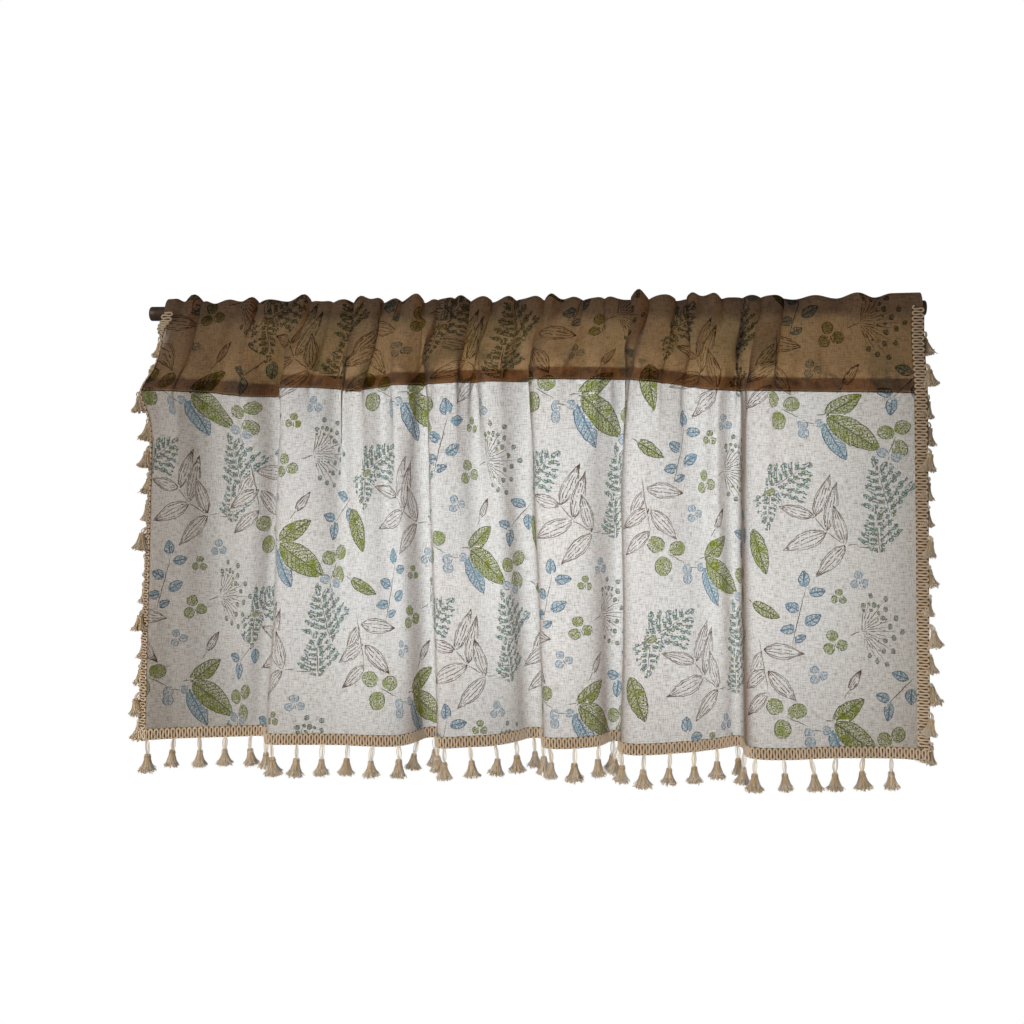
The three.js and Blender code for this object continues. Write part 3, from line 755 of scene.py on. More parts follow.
# Each ink's colour where it fills a leaf, the colour of its lines, and how much of a leaf it fills.
INK_FILL = {
    "bare": "#ffffff", "green": "#a3ac1c", "blue": "#8ac4da", "brown_line": "#ffffff", "stem": "#6b5a45",
    "green_round": "#a9b430", "blue_ring": "#a3c8dd", "teal_berry": "#94a07c", "fern": "#ffffff",
}
INK_LINE = {
    "bare": "#ffffff", "green": "#323d0b", "blue": "#1f4f70", "brown_line": "#694a33", "stem": "#5d5037",
    "green_round": "#3f4c12", "blue_ring": "#4d7f9b", "teal_berry": "#2c463f", "fern": "#0f3a42",
}
FILL_SHARE = {
    "bare": 0.0, "green": 0.95, "blue": 0.66, "brown_line": 0.0, "stem": 1.0,
    "green_round": 0.82, "blue_ring": 0.35, "teal_berry": 0.75, "fern": 0.0,
}
MATH = "ShaderNodeMath"
VECTOR_MATH = "ShaderNodeVectorMath"
SPLIT = "ShaderNodeSeparateXYZ"
TRANSLUCENT = "ShaderNodeBsdfTranslucent"
linen, tree = new_material("printed_linen")

# Where a point lies in the leaf it belongs to, moved a little by an unsteady hand.
flat_uv = add_node(tree, "ShaderNodeUVMap", uv_map="flat_cloth")
flat_mm = add_node(tree, VECTOR_MATH, {0: flat_uv, 3: 1 / MM}, operation="SCALE")
hand = add_node(tree, NOISE, {
    "Vector": flat_mm, "Scale": 1 / PEN_WOBBLE_SIZE, "Detail": 2.0,
}, noise_dimensions="2D")
sway = add_node(tree, VECTOR_MATH, (hand.outputs["Color"], (0.5, 0.5, 0.5)), operation="SUBTRACT")
drawn_at = add_node(tree, VECTOR_MATH, (sway, (2 * PEN_WOBBLE,) * 3, flat_mm), operation="MULTIPLY_ADD")
root_at = add_node(tree, "ShaderNodeAttribute", attribute_name="leaf_place").outputs["Vector"]
form = add_node(tree, "ShaderNodeAttribute", attribute_name="leaf_form").outputs["Vector"]
turn = add_node(tree, SPLIT, (root_at,)).outputs[2]
turn_back = add_node(tree, MATH, (turn, -1.0), operation="MULTIPLY")
from_root = add_node(tree, VECTOR_MATH, (drawn_at, root_at), operation="SUBTRACT")
in_leaf = add_node(tree, "ShaderNodeVectorRotate", {
    "Vector": from_root, "Angle": turn_back,
}, rotation_type="Z_AXIS")
along, across, _ = add_node(tree, SPLIT, (in_leaf,)).outputs
long, wide, ink = add_node(tree, SPLIT, (form,)).outputs
flat_across, flat_down, _ = add_node(tree, SPLIT, (flat_mm,)).outputs

# A ramp with one flat step for each ink, read by the ink's number.
ink_code = add_node(tree, MATH, (ink, len(INKS)), operation="DIVIDE")
ink_steps = {}
for title, colours in (
    ("fill", {name: linear(colour) for name, colour in INK_FILL.items()}),
    ("line", {name: linear(colour) for name, colour in INK_LINE.items()}),
    ("hold", {name: (share, share, share, 1) for name, share in FILL_SHARE.items()}),
):
    ink_steps[title] = add_node(tree, "ShaderNodeValToRGB", (ink_code,))
    ramp = ink_steps[title].color_ramp
    ramp.interpolation = "CONSTANT"
    for i, name in enumerate(INKS):
        at = max((i - 0.5) / len(INKS), 0)
        step = ramp.elements.new(at) if i else ramp.elements[0]
        step.position = at
        step.color = colours[name]
    ramp.elements.remove(ramp.elements[-1])

# Chance marks: stippling, worn patches of ink, breaks in the pen lines, and slubs along both threads.
stipple = add_node(tree, NOISE, {
    "Vector": flat_mm, "Scale": 1 / STIPPLE, "Detail": 2.0, "Roughness": 0.7,
}, noise_dimensions="2D")
patchy = add_node(tree, NOISE, {
    "Vector": flat_mm, "Scale": 1 / PEN_PATCH, "Detail": 2.0,
}, noise_dimensions="2D")
broken = add_node(tree, NOISE, {"Vector": flat_mm, "Scale": 1 / DASH_BREAK}, noise_dimensions="2D")
slubs = []
for stretch in ((1 / SLUB_LONG, 1 / SLUB_THIN, 1), (1 / SLUB_THIN, 1 / SLUB_LONG, 1)):
    run = add_node(tree, VECTOR_MATH, (flat_mm, stretch), operation="MULTIPLY")
    slub = add_node(tree, NOISE, {"Vector": run, "Scale": 1.0, "Detail": 2.0}, noise_dimensions="2D")
    slubs.append(add_node(tree, RANGE, (slub, 0.47, 0.74)))

# Ferns are many tiny leaflets set along slanting twigs, some mint and a few olive.
side = add_node(tree, MATH, (across,), operation="ABSOLUTE")
twig_run = add_node(tree, MATH, (side, -FERN_LEAF_SLANT, along), operation="MULTIPLY_ADD")
twig_step = add_node(tree, MATH, (twig_run, FERN_LEAF_STRETCH), operation="MULTIPLY")
leaflet_at = add_node(tree, "ShaderNodeCombineXYZ", (twig_step, across))
leaflet = add_node(tree, "ShaderNodeTexVoronoi", {
    "Vector": leaflet_at, "Scale": 1 / FERN_LEAF, "Randomness": 0.85,
}, voronoi_dimensions="2D")
leaflet_draw = leaflet.outputs["Color"]
leaflet_chance, leaflet_tone, _ = add_node(tree, "ShaderNodeSeparateColor", (leaflet_draw,)).outputs

# The print worked out line by line: a name, a sum or a range, and what goes into it.
marks = {
    "along": along, "across": across, "side": side, "long": long, "wide": wide, "ink": ink,
    "stipple": stipple, "patchy": patchy, "broken": broken, "hold": ink_steps["hold"],
    "leaflet_gap": leaflet.outputs["Distance"],
    "leaflet_chance": leaflet_chance, "leaflet_tone": leaflet_tone,
    "flat_across": flat_across, "flat_down": flat_down, "slub_across": slubs[0], "slub_down": slubs[1],
}
for name, operation, *values in (
    ("is_ink", "GREATER_THAN", "ink", 0.5),
    ("is_round", "GREATER_THAN", "ink", INK["green_round"] - 0.5),
    ("is_brown", "COMPARE", "ink", INK["brown_line"], 0.25),
    ("is_stem", "COMPARE", "ink", INK["stem"], 0.25),
    ("is_fern", "GREATER_THAN", "ink", INK["fern"] - 0.5),
    ("is_filled", "GREATER_THAN", "hold", 0.3),
    ("outlined", "SUBTRACT", "is_ink", "is_fern"),
    ("outlined", "SUBTRACT", "outlined", "is_stem"),
    # Outline of a leaf: widest nearer its root, blunt for the round ones and pointed for the brown ones.
    ("share", "RANGE", "along", 0.0, "long"),
    ("lean", "MULTIPLY_ADD", "is_round", 0.18, 0.82),
    ("early", "POWER", "share", "lean"),
    ("late", "SUBTRACT", 1.0, "early"),
    ("bulge", "MULTIPLY", "early", "late"),
    ("bulge", "MULTIPLY", "bulge", 4.0),
    ("pointed", "MULTIPLY_ADD", "is_round", -0.36, 0.86),
    ("pointed", "MULTIPLY_ADD", "is_brown", 0.34, "pointed"),
    ("half_wide", "POWER", "bulge", "pointed"),
    ("half_wide", "MULTIPLY", "half_wide", "wide"),
    ("half_wide", "MULTIPLY", "half_wide", 0.5),
    ("on_length", "COMPARE", "share", 0.5, 0.4995),
    ("edge", "SUBTRACT", "side", "half_wide"),
    ("edge_gap", "ABSOLUTE", "edge"),
    ("edge_share", "MAXIMUM", "half_wide", 0.2),
    ("edge_share", "DIVIDE", "side", "edge_share"),
    ("inside", "RANGE", "edge", 0.15, -0.15),
    ("inside", "MULTIPLY", "inside", "on_length"),
    ("outline", "RANGE", "edge_gap", PEN_LINE / 2 + PEN_SOFT, PEN_LINE / 2 - PEN_SOFT),
    ("outline", "MULTIPLY", "outline", "on_length"),
    ("outline", "MULTIPLY", "outline", "outlined"),
    # Ink in the leaves, with bare flecks where the stippling leaves it out.
    ("pale_side", "RANGE", "across", -2.0, 2.0, 0.7, 1.0),
    ("pale_patch", "RANGE", "patchy", 0.25, 0.5),
    ("fleck", "RANGE", "stipple", 0.44, 0.52),
    ("fleck", "MULTIPLY", "fleck", "pale_patch"),
    ("fleck", "MULTIPLY", "fleck", "pale_side"),
    ("fleck", "MULTIPLY_ADD", "fleck", -0.85, 1.0),
    ("fill", "MULTIPLY", "inside", "hold"),
    ("fill", "MULTIPLY", "fill", "fleck"),
    ("filled", "GREATER_THAN", "fill", 0.01),
    # Rib and veins of the filled leaves.
    ("rib", "RANGE", "side", 0.9, 0.45),
    ("vein", "MULTIPLY_ADD", "side", -VEIN_SLANT, "along"),
    ("vein", "MULTIPLY", "vein", FULL_TURN / VEIN_PITCH),
    ("vein", "SINE", "vein"),
    ("vein", "RANGE", "vein", 0.72, 0.92),
    ("vein_hold", "RANGE", "stipple", 0.4, 0.5),
    ("vein", "MULTIPLY", "vein", "vein_hold"),
    ("vein", "MAXIMUM", "vein", "rib"),
    ("vein", "MULTIPLY", "vein", "inside"),
    ("vein", "MULTIPLY", "vein", "filled"),
    ("vein_hold", "MULTIPLY_ADD", "is_round", -0.35, 0.7),
    ("vein", "MULTIPLY", "vein", "vein_hold"),
    # Broken pen lines along the inside of the brown leaves.
    ("dash_hold", "RANGE", "broken", 0.36, 0.46),
    ("dash", "ADD", "edge_share", 0.25),
    ("dash", "PINGPONG", "dash", 0.25),
    ("dash", "MULTIPLY", "dash", "half_wide"),
    ("dash", "RANGE", "dash", 0.5, 0.22),
    ("dash", "MULTIPLY", "dash", "dash_hold"),
    ("dash", "MULTIPLY", "dash", "inside"),
    ("dash", "MULTIPLY", "dash", "is_brown"),
    # Fern leaflets, smaller towards the edge, each a dark rim around a pale heart.
    ("leaflet", "MULTIPLY_ADD", "edge_share", -0.12, 0.58),
    ("leaflet", "SUBTRACT", "leaflet", "leaflet_gap"),
    ("heart", "RANGE", "leaflet", 0.2, 0.3),
    ("heart", "MULTIPLY", "heart", "is_fern"),
    ("olive", "RANGE", "leaflet_tone", 0.8, 0.92),
    ("leaflet_kept", "GREATER_THAN", "leaflet_chance", 0.2),
    ("fern", "RANGE", "leaflet", 0.0, 0.1),
    ("fern", "MULTIPLY", "fern", "leaflet_kept"),
    ("twig", "MULTIPLY", "rib", 0.7),
    ("fern", "MAXIMUM", "fern", "twig"),
    ("fern", "MULTIPLY", "fern", "inside"),
    ("fern", "MULTIPLY", "fern", "is_fern"),
    ("fern", "MULTIPLY", "fern", 0.86),
    # All the pen lines, worn in patches, with dark specks in the filled leaves.
    ("line", "MAXIMUM", "outline", "dash"),
    ("line", "MAXIMUM", "line", "vein"),
    ("pen_hold", "RANGE", "patchy", 0.35, 0.55, 0.6, 0.97),
    ("line", "MULTIPLY", "line", "pen_hold"),
    ("speck", "RANGE", "stipple", 0.46, 0.4),
    ("speck", "MULTIPLY", "speck", "inside"),
    ("speck", "MULTIPLY", "speck", "is_filled"),
    ("speck", "MULTIPLY", "speck", 0.72),
    ("line", "MAXIMUM", "line", "speck"),
    ("line", "MAXIMUM", "line", "fern"),
    ("inked", "MAXIMUM", "fill", "line"),
    # Threads: slubs run along both ways, and the finest grain is where the two ways cross.
    ("slub", "ADD", "slub_across", "slub_down"),
    ("slub", "RANGE", "slub", 0.0, 1 / SLUB_SHOWN),
    ("weft", "MULTIPLY", "flat_down", FULL_TURN / THREAD),
    ("weft", "SINE", "weft"),
    ("warp", "MULTIPLY", "flat_across", FULL_TURN / THREAD),
    ("warp", "SINE", "warp"),
    ("weave", "MULTIPLY", "weft", "warp"),
    ("height", "MULTIPLY_ADD", "slub", 1.6, "weave"),
):
    values = [marks[value] if isinstance(value, str) else value for value in values]
    if operation == "RANGE":
        marks[name] = add_node(tree, RANGE, values)
    else:
        marks[name] = add_node(tree, MATH, values, operation=operation)

shade = add_node(tree, NOISE, {
    "Vector": flat_mm, "Scale": 1 / SHADE_PATCH, "Detail": 3.0,
}, noise_dimensions="2D")
colour = add_node(tree, MIX, {0: shade, 6: linear(LINEN_PALE), 7: linear(LINEN_COOL)}, data_type="RGBA")
colour = add_node(tree, MIX, {0: marks["slub"], 6: colour, 7: linear(LINEN_SLUB)}, data_type="RGBA")
colour = add_node(tree, MIX, {0: marks["fill"], 6: colour, 7: ink_steps["fill"]}, data_type="RGBA")
heart_colour = add_node(tree, MIX, {
    0: marks["olive"], 6: linear(FERN_MINT), 7: linear(FERN_OLIVE),
}, data_type="RGBA")
line_colour = add_node(tree, MIX, {
    0: marks["heart"], 6: ink_steps["line"], 7: heart_colour,
}, data_type="RGBA")
colour = add_node(tree, MIX, {0: marks["line"], 6: colour, 7: line_colour}, data_type="RGBA")
linen_bump = add_node(tree, BUMP, {"Height": marks["height"], "Strength": 0.35, "Distance": 0.12 * MM})
faces = {}
for title, bare_tint, inked_tint in (
    ("lit", WHITE, (INK_DEPTH, INK_DEPTH, INK_DEPTH, 1)),
    ("through", linear(THROUGH_TINT), linear(INK_TINT)),
):
    tint = add_node(tree, MIX, {0: marks["inked"], 6: bare_tint, 7: inked_tint}, data_type="RGBA")
    faces[title] = add_node(tree, MIX, {0: 1.0, 6: colour, 7: tint}, data_type="RGBA", blend_type="MULTIPLY")
linen_shader = add_node(tree, PRINCIPLED, {
    "Base Color": faces["lit"], "Roughness": 0.92, "Normal": linen_bump,
    "Specular IOR Level": 0.15, "Sheen Weight": 0.08,
})
through = add_node(tree, TRANSLUCENT, {"Color": faces["through"], "Normal": linen_bump})
linen_mix = add_node(tree, MIX_SHADER, (SHINE_THROUGH, linen_shader, through))
add_node(tree, SURFACE_OUT, {"Surface": linen_mix})
cloth_mesh.materials.append(linen)
cloth = add_object("linen_curtain", cloth_mesh)
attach(cloth, "root")
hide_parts("curtain_cloth")

# Casing stitches
# A row of straight machine stitches in linen thread holds the casing just above its turned-in edge.
# Each stitch lies on the face of the cloth and dips into it at both ends.
STITCH_PITCH = 3.4
STITCH_LONG = 2.7
STITCH_THICK = 0.55
STITCH_Z = SEAM_Z + 2.2
STITCH_MARGIN = 14
SEAM_STEPS = 700
THREAD_COLOUR = "#cdbb9c"
THREAD_TWIST = 0.4 * MM
FLOAT = "NodeSocketFloat"
INT = "NodeSocketInt"
MATERIAL = "NodeSocketMaterial"
TO_CURVE = "GeometryNodeMeshToCurve"
RESAMPLE = "GeometryNodeResampleCurve"
TANGENT = "GeometryNodeInputTangent"
ON_POINTS = "GeometryNodeInstanceOnPoints"


def line_mesh(name, lines, **fields):
    """Open lines through rows of points in mm, with values held at their points."""
    points = np.concatenate(lines) * MM
    ends = np.cumsum([len(line) for line in lines]) - 1
    starts = np.setdiff1d(np.arange(len(points)), ends)
    mesh = bpy.data.meshes.new(name)
    mesh.from_pydata(points.tolist(), np.stack([starts, starts + 1], axis=-1).tolist(), [])
    for field, values in fields.items():
        values = np.asarray(values, np.float32)
        kind, slot = ("FLOAT_VECTOR", "vector") if values.ndim == 2 else ("FLOAT", "value")
        mesh.attributes.new(field, kind, "POINT").data.foreach_set(slot, values.ravel())
    return mesh


def new_tree(name, sockets):
    """A geometry tree with named inputs, and the sockets of its input node."""
    made = bpy.data.node_groups.new(name, "GeometryNodeTree")
    made.interface.new_socket("Geometry", in_out="INPUT", socket_type="NodeSocketGeometry")
    made.interface.new_socket("Geometry", in_out="OUTPUT", socket_type="NodeSocketGeometry")
    for title, kind in sockets.items():
        made.interface.new_socket(title, in_out="INPUT", socket_type=kind)
    return made, add_node(made, "NodeGroupInput").outputs


def end_tree(tree, made, material):
    """Ends a geometry tree with real smooth meshes in one material."""
    real = add_node(tree, "GeometryNodeRealizeInstances", (made,))
    smooth = add_node(tree, "GeometryNodeSetShadeSmooth", (real,))
    dyed = add_node(tree, "GeometryNodeSetMaterial", {"Geometry": smooth, "Material": material})
    add_node(tree, "NodeGroupOutput", (dyed,))


def grow(name, mesh, tree, values):
    """A plain object grown by a tree from a source mesh, with the tree's named inputs set."""
    source = add_object(name + "_source", mesh)
    modifier = source.modifiers.new("grow", "NODES")
    modifier.node_group = tree
    for item in tree.interface.items_tree:
        if item.in_out == "INPUT" and item.name in values:
            modifier[item.identifier] = values[item.name]
    graph = bpy.context.evaluated_depsgraph_get()
    grown = bpy.data.meshes.new_from_object(source.evaluated_get(graph))
    bpy.data.objects.remove(source)
    grown.name = name
    return add_object(name, grown)


stitch_tree, given = new_tree("machine_stitches", {
    "Pitch": FLOAT, "Long": FLOAT, "Thick": FLOAT, "Thread": MATERIAL,
})
seam_line = add_node(stitch_tree, TO_CURVE, (given["Geometry"],))
seam_points = add_node(stitch_tree, RESAMPLE, {"Curve": seam_line, "Length": given["Pitch"]}, mode="LENGTH")
bead = add_node(stitch_tree, "GeometryNodeMeshUVSphere", {"Segments": 8, "Rings": 6, "Radius": 0.5})
bead_size = add_node(stitch_tree, "ShaderNodeCombineXYZ", (given["Thick"], given["Thick"], given["Long"]))
seam_run = add_node(stitch_tree, TANGENT)
bead_turn = add_node(stitch_tree, "FunctionNodeAlignRotationToVector", {"Vector": seam_run}, axis="Z")
beads = add_node(stitch_tree, ON_POINTS, {
    "Points": seam_points, "Instance": bead, "Rotation": bead_turn, "Scale": bead_size,
})
end_tree(stitch_tree, beads, given["Thread"])

# Spun linen thread: matt and a little darker than the cloth, with a fine twist.
sewing_thread, tree = new_material("linen_sewing_thread")
place = add_node(tree, PLACE).outputs["Object"]
twist = add_node(tree, NOISE, {"Vector": place, "Scale": 1 / THREAD_TWIST})
twist_bump = add_node(tree, BUMP, {"Height": twist, "Strength": 0.3, "Distance": 0.1 * MM})
thread_shader = add_node(tree, PRINCIPLED, {
    "Base Color": linear(THREAD_COLOUR), "Roughness": 0.85, "Normal": twist_bump,
    "Specular IOR Level": 0.2,
})
add_node(tree, SURFACE_OUT, {"Surface": thread_shader})
seam_flat = np.linspace(STITCH_MARGIN, FLAT_WIDTH - STITCH_MARGIN, SEAM_STEPS)
seam_path = cloth_point(seam_flat, STITCH_Z, layer_spread(seam_flat, STITCH_Z) + STITCH_THICK * 0.3)
stitches = grow("casing_stitches", line_mesh("seam_line", [seam_path]), stitch_tree, {
    "Pitch": STITCH_PITCH * MM, "Long": STITCH_LONG * MM, "Thick": STITCH_THICK * MM, "Thread": sewing_thread,
})
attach(stitches, "root")
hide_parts("curtain_cloth")

# Gimp braid
# A narrow woven tape sewn along the hem and up both sides, faced with a cord laid in close upright scrolls.
# The cord is viscose wound on a cotton core. The tape behind it is painted dark brown, as painted shade in
# the gaps between the scrolls.
BRAID_WIDTH = 10.5
BRAID_OVERHANG = 2
BRAID_CORNER_GAP = 0.4
TAPE_LIFT = 0.6
CORD_LIFT = 1.55
CORD_THICK = 1.95
CORD_SIDES = 6
SCROLL_PITCH = 5.6
SCROLL_CURL = -0.9
SCROLL_RISE = 0.25
SCROLL_STEP = 0.32
TAPE_SHARE = 0.94
TAPE_ROWS = 6
HEM_STEPS = 720
SIDE_STEPS = 300
GIMP_GOLD = "#e0d4ba"
GIMP_PALE = "#f2e8d6"
GIMP_TINT = "#ffdcae"
GIMP_THROUGH = 0.36
GIMP_SHADE = 22 * MM
GIMP_WINDING = 0.5 * MM
# The tape's dark brown is painted shade for the gaps between the scrolls.
TAPE_SHADE_BROWN = "#6b5336"
TAPE_RIB = 0.9 * MM
HELD = "GeometryNodeInputNamedAttribute"
CIRCLE = "GeometryNodeCurvePrimitiveCircle"
TUBE = "GeometryNodeCurveToMesh"
scroll_tree, given = new_tree("scroll_gimp", {
    "Step": FLOAT, "Pitch": FLOAT, "Swing": FLOAT, "Curl": FLOAT, "Rise": FLOAT, "Thick": FLOAT,
    "Sides": INT, "Cord": MATERIAL,
})
path_line = add_node(scroll_tree, TO_CURVE, (given["Geometry"],))
fine_line = add_node(scroll_tree, RESAMPLE, {"Curve": path_line, "Length": given["Step"]}, mode="LENGTH")
run = add_node(scroll_tree, "GeometryNodeSplineParameter").outputs["Length"]
phase = add_node(scroll_tree, MATH, (run, FULL_TURN), operation="MULTIPLY")
phase = add_node(scroll_tree, MATH, (phase, given["Pitch"]), operation="DIVIDE")
twice = add_node(scroll_tree, MATH, (phase, 2.0), operation="MULTIPLY")
across = add_node(scroll_tree, HELD, {"Name": "across"}, data_type="FLOAT_VECTOR")
outward = add_node(scroll_tree, HELD, {"Name": "outward"}, data_type="FLOAT_VECTOR")
scroll_at = (0, 0, 0)
for direction, size_name, wave, angle in (
    (across, "Swing", "SINE", phase),
    (add_node(scroll_tree, TANGENT), "Curl", "SINE", twice),
    (outward, "Rise", "COSINE", twice),
):
    swing = add_node(scroll_tree, MATH, (angle,), operation=wave)
    push = add_node(scroll_tree, MATH, (given[size_name], swing), operation="MULTIPLY")
    moved = add_node(scroll_tree, VECTOR_MATH, {0: direction, 3: push}, operation="SCALE")
    scroll_at = add_node(scroll_tree, VECTOR_MATH, (scroll_at, moved), operation="ADD")
scrolled = add_node(scroll_tree, "GeometryNodeSetPosition", {"Geometry": fine_line, "Offset": scroll_at})
cord_radius = add_node(scroll_tree, MATH, (given["Thick"], 0.5), operation="MULTIPLY")
cord_round = add_node(scroll_tree, CIRCLE, {"Resolution": given["Sides"], "Radius": cord_radius})
cord_tube = add_node(scroll_tree, TUBE, {"Curve": scrolled, "Profile Curve": cord_round, "Fill Caps": True})
end_tree(scroll_tree, cord_tube, given["Cord"])

# Wound viscose: pale gold, softly shining, with a fine thread grain and slow changes of shade.
gimp, tree = new_material("viscose_gimp_cord")
place = add_node(tree, PLACE).outputs["Object"]
shade = add_node(tree, NOISE, {"Vector": place, "Scale": 1 / GIMP_SHADE, "Detail": 2.0})
gimp_colour = add_node(tree, MIX, {0: shade, 6: linear(GIMP_GOLD), 7: linear(GIMP_PALE)}, data_type="RGBA")
winding = add_node(tree, NOISE, {"Vector": place, "Scale": 1 / GIMP_WINDING, "Detail": 2.0})
gimp_bump = add_node(tree, BUMP, {"Height": winding, "Strength": 0.4, "Distance": 0.15 * MM})
gimp_shader = add_node(tree, PRINCIPLED, {
    "Base Color": gimp_colour, "Roughness": 0.58, "Normal": gimp_bump,
    "Specular IOR Level": 0.35, "Sheen Weight": 0.2,
})
gimp_lit = add_node(tree, MIX, {
    0: 1.0, 6: gimp_colour, 7: linear(GIMP_TINT),
}, data_type="RGBA", blend_type="MULTIPLY")
gimp_through = add_node(tree, TRANSLUCENT, {"Color": gimp_lit})
gimp_mix = add_node(tree, MIX_SHADER, (GIMP_THROUGH, gimp_shader, gimp_through))
add_node(tree, SURFACE_OUT, {"Surface": gimp_mix})

# Woven cotton tape: matt, with the uneven grain of its ribs, and painted dark brown as painted shade in the
# gaps between the scrolls.
tape, tree = new_material("cotton_tape_gap_shade")
place = add_node(tree, PLACE).outputs["Object"]
rib = add_node(tree, NOISE, {"Vector": place, "Scale": 1 / TAPE_RIB})
tape_bump = add_node(tree, BUMP, {"Height": rib, "Strength": 0.4, "Distance": 0.2 * MM})
tape_shader = add_node(tree, PRINCIPLED, {
    "Base Color": linear(TAPE_SHADE_BROWN), "Roughness": 0.9, "Normal": tape_bump, "Specular IOR Level": 0.15,
})
add_node(tree, SURFACE_OUT, {"Surface": tape_shader})


def unit(vectors):
    """Vectors at length one."""
    return vectors / np.linalg.norm(vectors, axis=-1, keepdims=True)


def braid_point(flat, z, lift):
    """A point on the face of the cloth, or straight on past its side edges, lifted towards the room."""
    inside = np.clip(flat, 0, FLAT_WIDTH)
    return cloth_point(inside, z, layer_spread(inside, z) + lift, flat - inside)


def add_braid(name, trim, flat, z, side_flat, side_z):
    """A braid along a path on the cloth. The two side steps lead from its middle to its right-hand edge."""
    half = math.hypot(side_flat, side_z)
    middle = braid_point(flat, z, CORD_LIFT)
    across = unit(braid_point(flat + side_flat, z + side_z, CORD_LIFT) - middle)
    outward = unit(braid_point(flat, z, CORD_LIFT + 1) - middle)
    cord = grow(name, line_mesh(name, [middle], across=across, outward=outward), scroll_tree, {
        "Step": SCROLL_STEP * MM, "Pitch": SCROLL_PITCH * MM, "Swing": (half - CORD_THICK / 2) * MM,
        "Curl": SCROLL_CURL * MM, "Rise": SCROLL_RISE * MM, "Thick": CORD_THICK * MM, "Sides": CORD_SIDES,
        "Cord": gimp,
    })
    steps = np.linspace(-TAPE_SHARE, TAPE_SHARE, TAPE_ROWS)[:, None]
    strip = braid_point(flat + steps * side_flat, z + steps * side_z, TAPE_LIFT)
    tape_mesh, _ = grid_mesh(name + "_tape", strip)
    tape_mesh.materials.append(tape)
    strip_object = add_object(name + "_tape", tape_mesh)
    for piece in (cord, strip_object):
        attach(piece, "root")
        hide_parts(trim)


hem_top = HEM_Z + BRAID_WIDTH - BRAID_CORNER_GAP
hem_low = HEM_Z - BRAID_OVERHANG
hem_middle = (hem_top + hem_low) / 2
side_middle = (BRAID_WIDTH - BRAID_OVERHANG) / 2
side_half = (BRAID_WIDTH + BRAID_OVERHANG) / 2
hem_flat = np.linspace(-BRAID_OVERHANG, FLAT_WIDTH + BRAID_OVERHANG, HEM_STEPS)
side_path_z = np.linspace(HEM_Z + BRAID_WIDTH, 0, SIDE_STEPS)
left_flat = np.full(SIDE_STEPS, side_middle)
right_flat = np.full(SIDE_STEPS, FLAT_WIDTH - side_middle)
add_braid("hem_braid", "hem_tassel_trim", hem_flat, np.full(HEM_STEPS, hem_middle), 0.0, hem_top - hem_middle)
add_braid("left_braid", "left_tassel_trim", left_flat, side_path_z, side_half, 0.0)
add_braid("right_braid", "right_tassel_trim", right_flat, side_path_z, side_half, 0.0)

# Tassels
# Small cotton tassels hang from the braid by looped yarns, each a bundle of soft yarn bound near its top.
# The skirt flares into a bell and its ends have frayed; the bundle is painted tan inside as painted shade,
# and its frayed rim pale as a painted highlight.
TASSEL_PITCH = 26
TASSEL_CLEAR = 15.5
TASSEL_MARGIN = 12
SIDE_TASSEL_PITCH = 28.5
SIDE_TASSEL_TOP = -24
SIDE_TASSEL_OUT = 0.8
SIDE_TASSEL_BACK = 6.0
HEM_CORD_DROP = 14
SIDE_CORD_DROP = 5
BODY_LONG = 17
BIND_AT = 2.6
STRANDS = 64
FRAYED = 56
YARN_POINTS = 7
COIL_POINTS = 26
BODY_KINDS = 4
YARN_THICK = 0.7
CORD_YARN = 1.35
HEAD_RADIUS = 3.5
HEAD_SWELL = 0.55
SKIRT_RADIUS = (6.8, 8.2)
COIL_RADIUS = 3.3
COIL_TURNS = 3.5
COIL_LONG = 1.6
COIL_THICK = 0.75
STRAND_TURN = 2.39996
CORD_YARNS = 4
CORD_POINTS = 8
TASSEL_SIZE = (0.9, 1.06)
TASSEL_LEAN = 0.16
LEAN_PER_SWING = 0.03
# Tan is painted shade inside the bundles; cream is the yarn's own colour, and also the painted highlight of
# the frayed rim.
YARN_SHADED_TAN = "#e6d3aa"
YARN_CREAM = "#fdfdf8"
YARN_TINT = "#fff0d4"
YARN_THROUGH = 0.5
YARN_FUZZ = 0.7 * MM
rng = np.random.default_rng(41)
yarn_tree, given = new_tree("yarn_lines", {"Sides": INT, "Yarn": MATERIAL})
lines = add_node(yarn_tree, TO_CURVE, (given["Geometry"],))
thickness = add_node(yarn_tree, HELD, {"Name": "thickness"}, data_type="FLOAT")
yarn_round = add_node(yarn_tree, CIRCLE, {"Resolution": given["Sides"], "Radius": 0.5})
yarn_tube = add_node(yarn_tree, TUBE, {
    "Curve": lines, "Profile Curve": yarn_round, "Scale": thickness, "Fill Caps": True,
})
end_tree(yarn_tree, yarn_tube, given["Yarn"])

hang_tree, given = new_tree("hung_tassels", {
    **{f"Body {i}": "NodeSocketObject" for i in range(BODY_KINDS)}, "Yarn": MATERIAL,
})
bodies = add_node(hang_tree, "GeometryNodeJoinGeometry")
for i in reversed(range(BODY_KINDS)):
    body = add_node(hang_tree, "GeometryNodeObjectInfo", {"Object": given[f"Body {i}"], "As Instance": True})
    hang_tree.links.new(body.outputs["Geometry"], bodies.inputs[0])
turn = add_node(hang_tree, HELD, {"Name": "turn"}, data_type="FLOAT_VECTOR")
grown = add_node(hang_tree, HELD, {"Name": "grown"}, data_type="FLOAT")
kind = add_node(hang_tree, HELD, {"Name": "kind"}, data_type="INT")
hung = add_node(hang_tree, ON_POINTS, {
    "Points": given["Geometry"], "Instance": bodies, "Pick Instance": True,
    "Instance Index": kind, "Rotation": turn, "Scale": grown,
})
end_tree(hang_tree, hung, given["Yarn"])
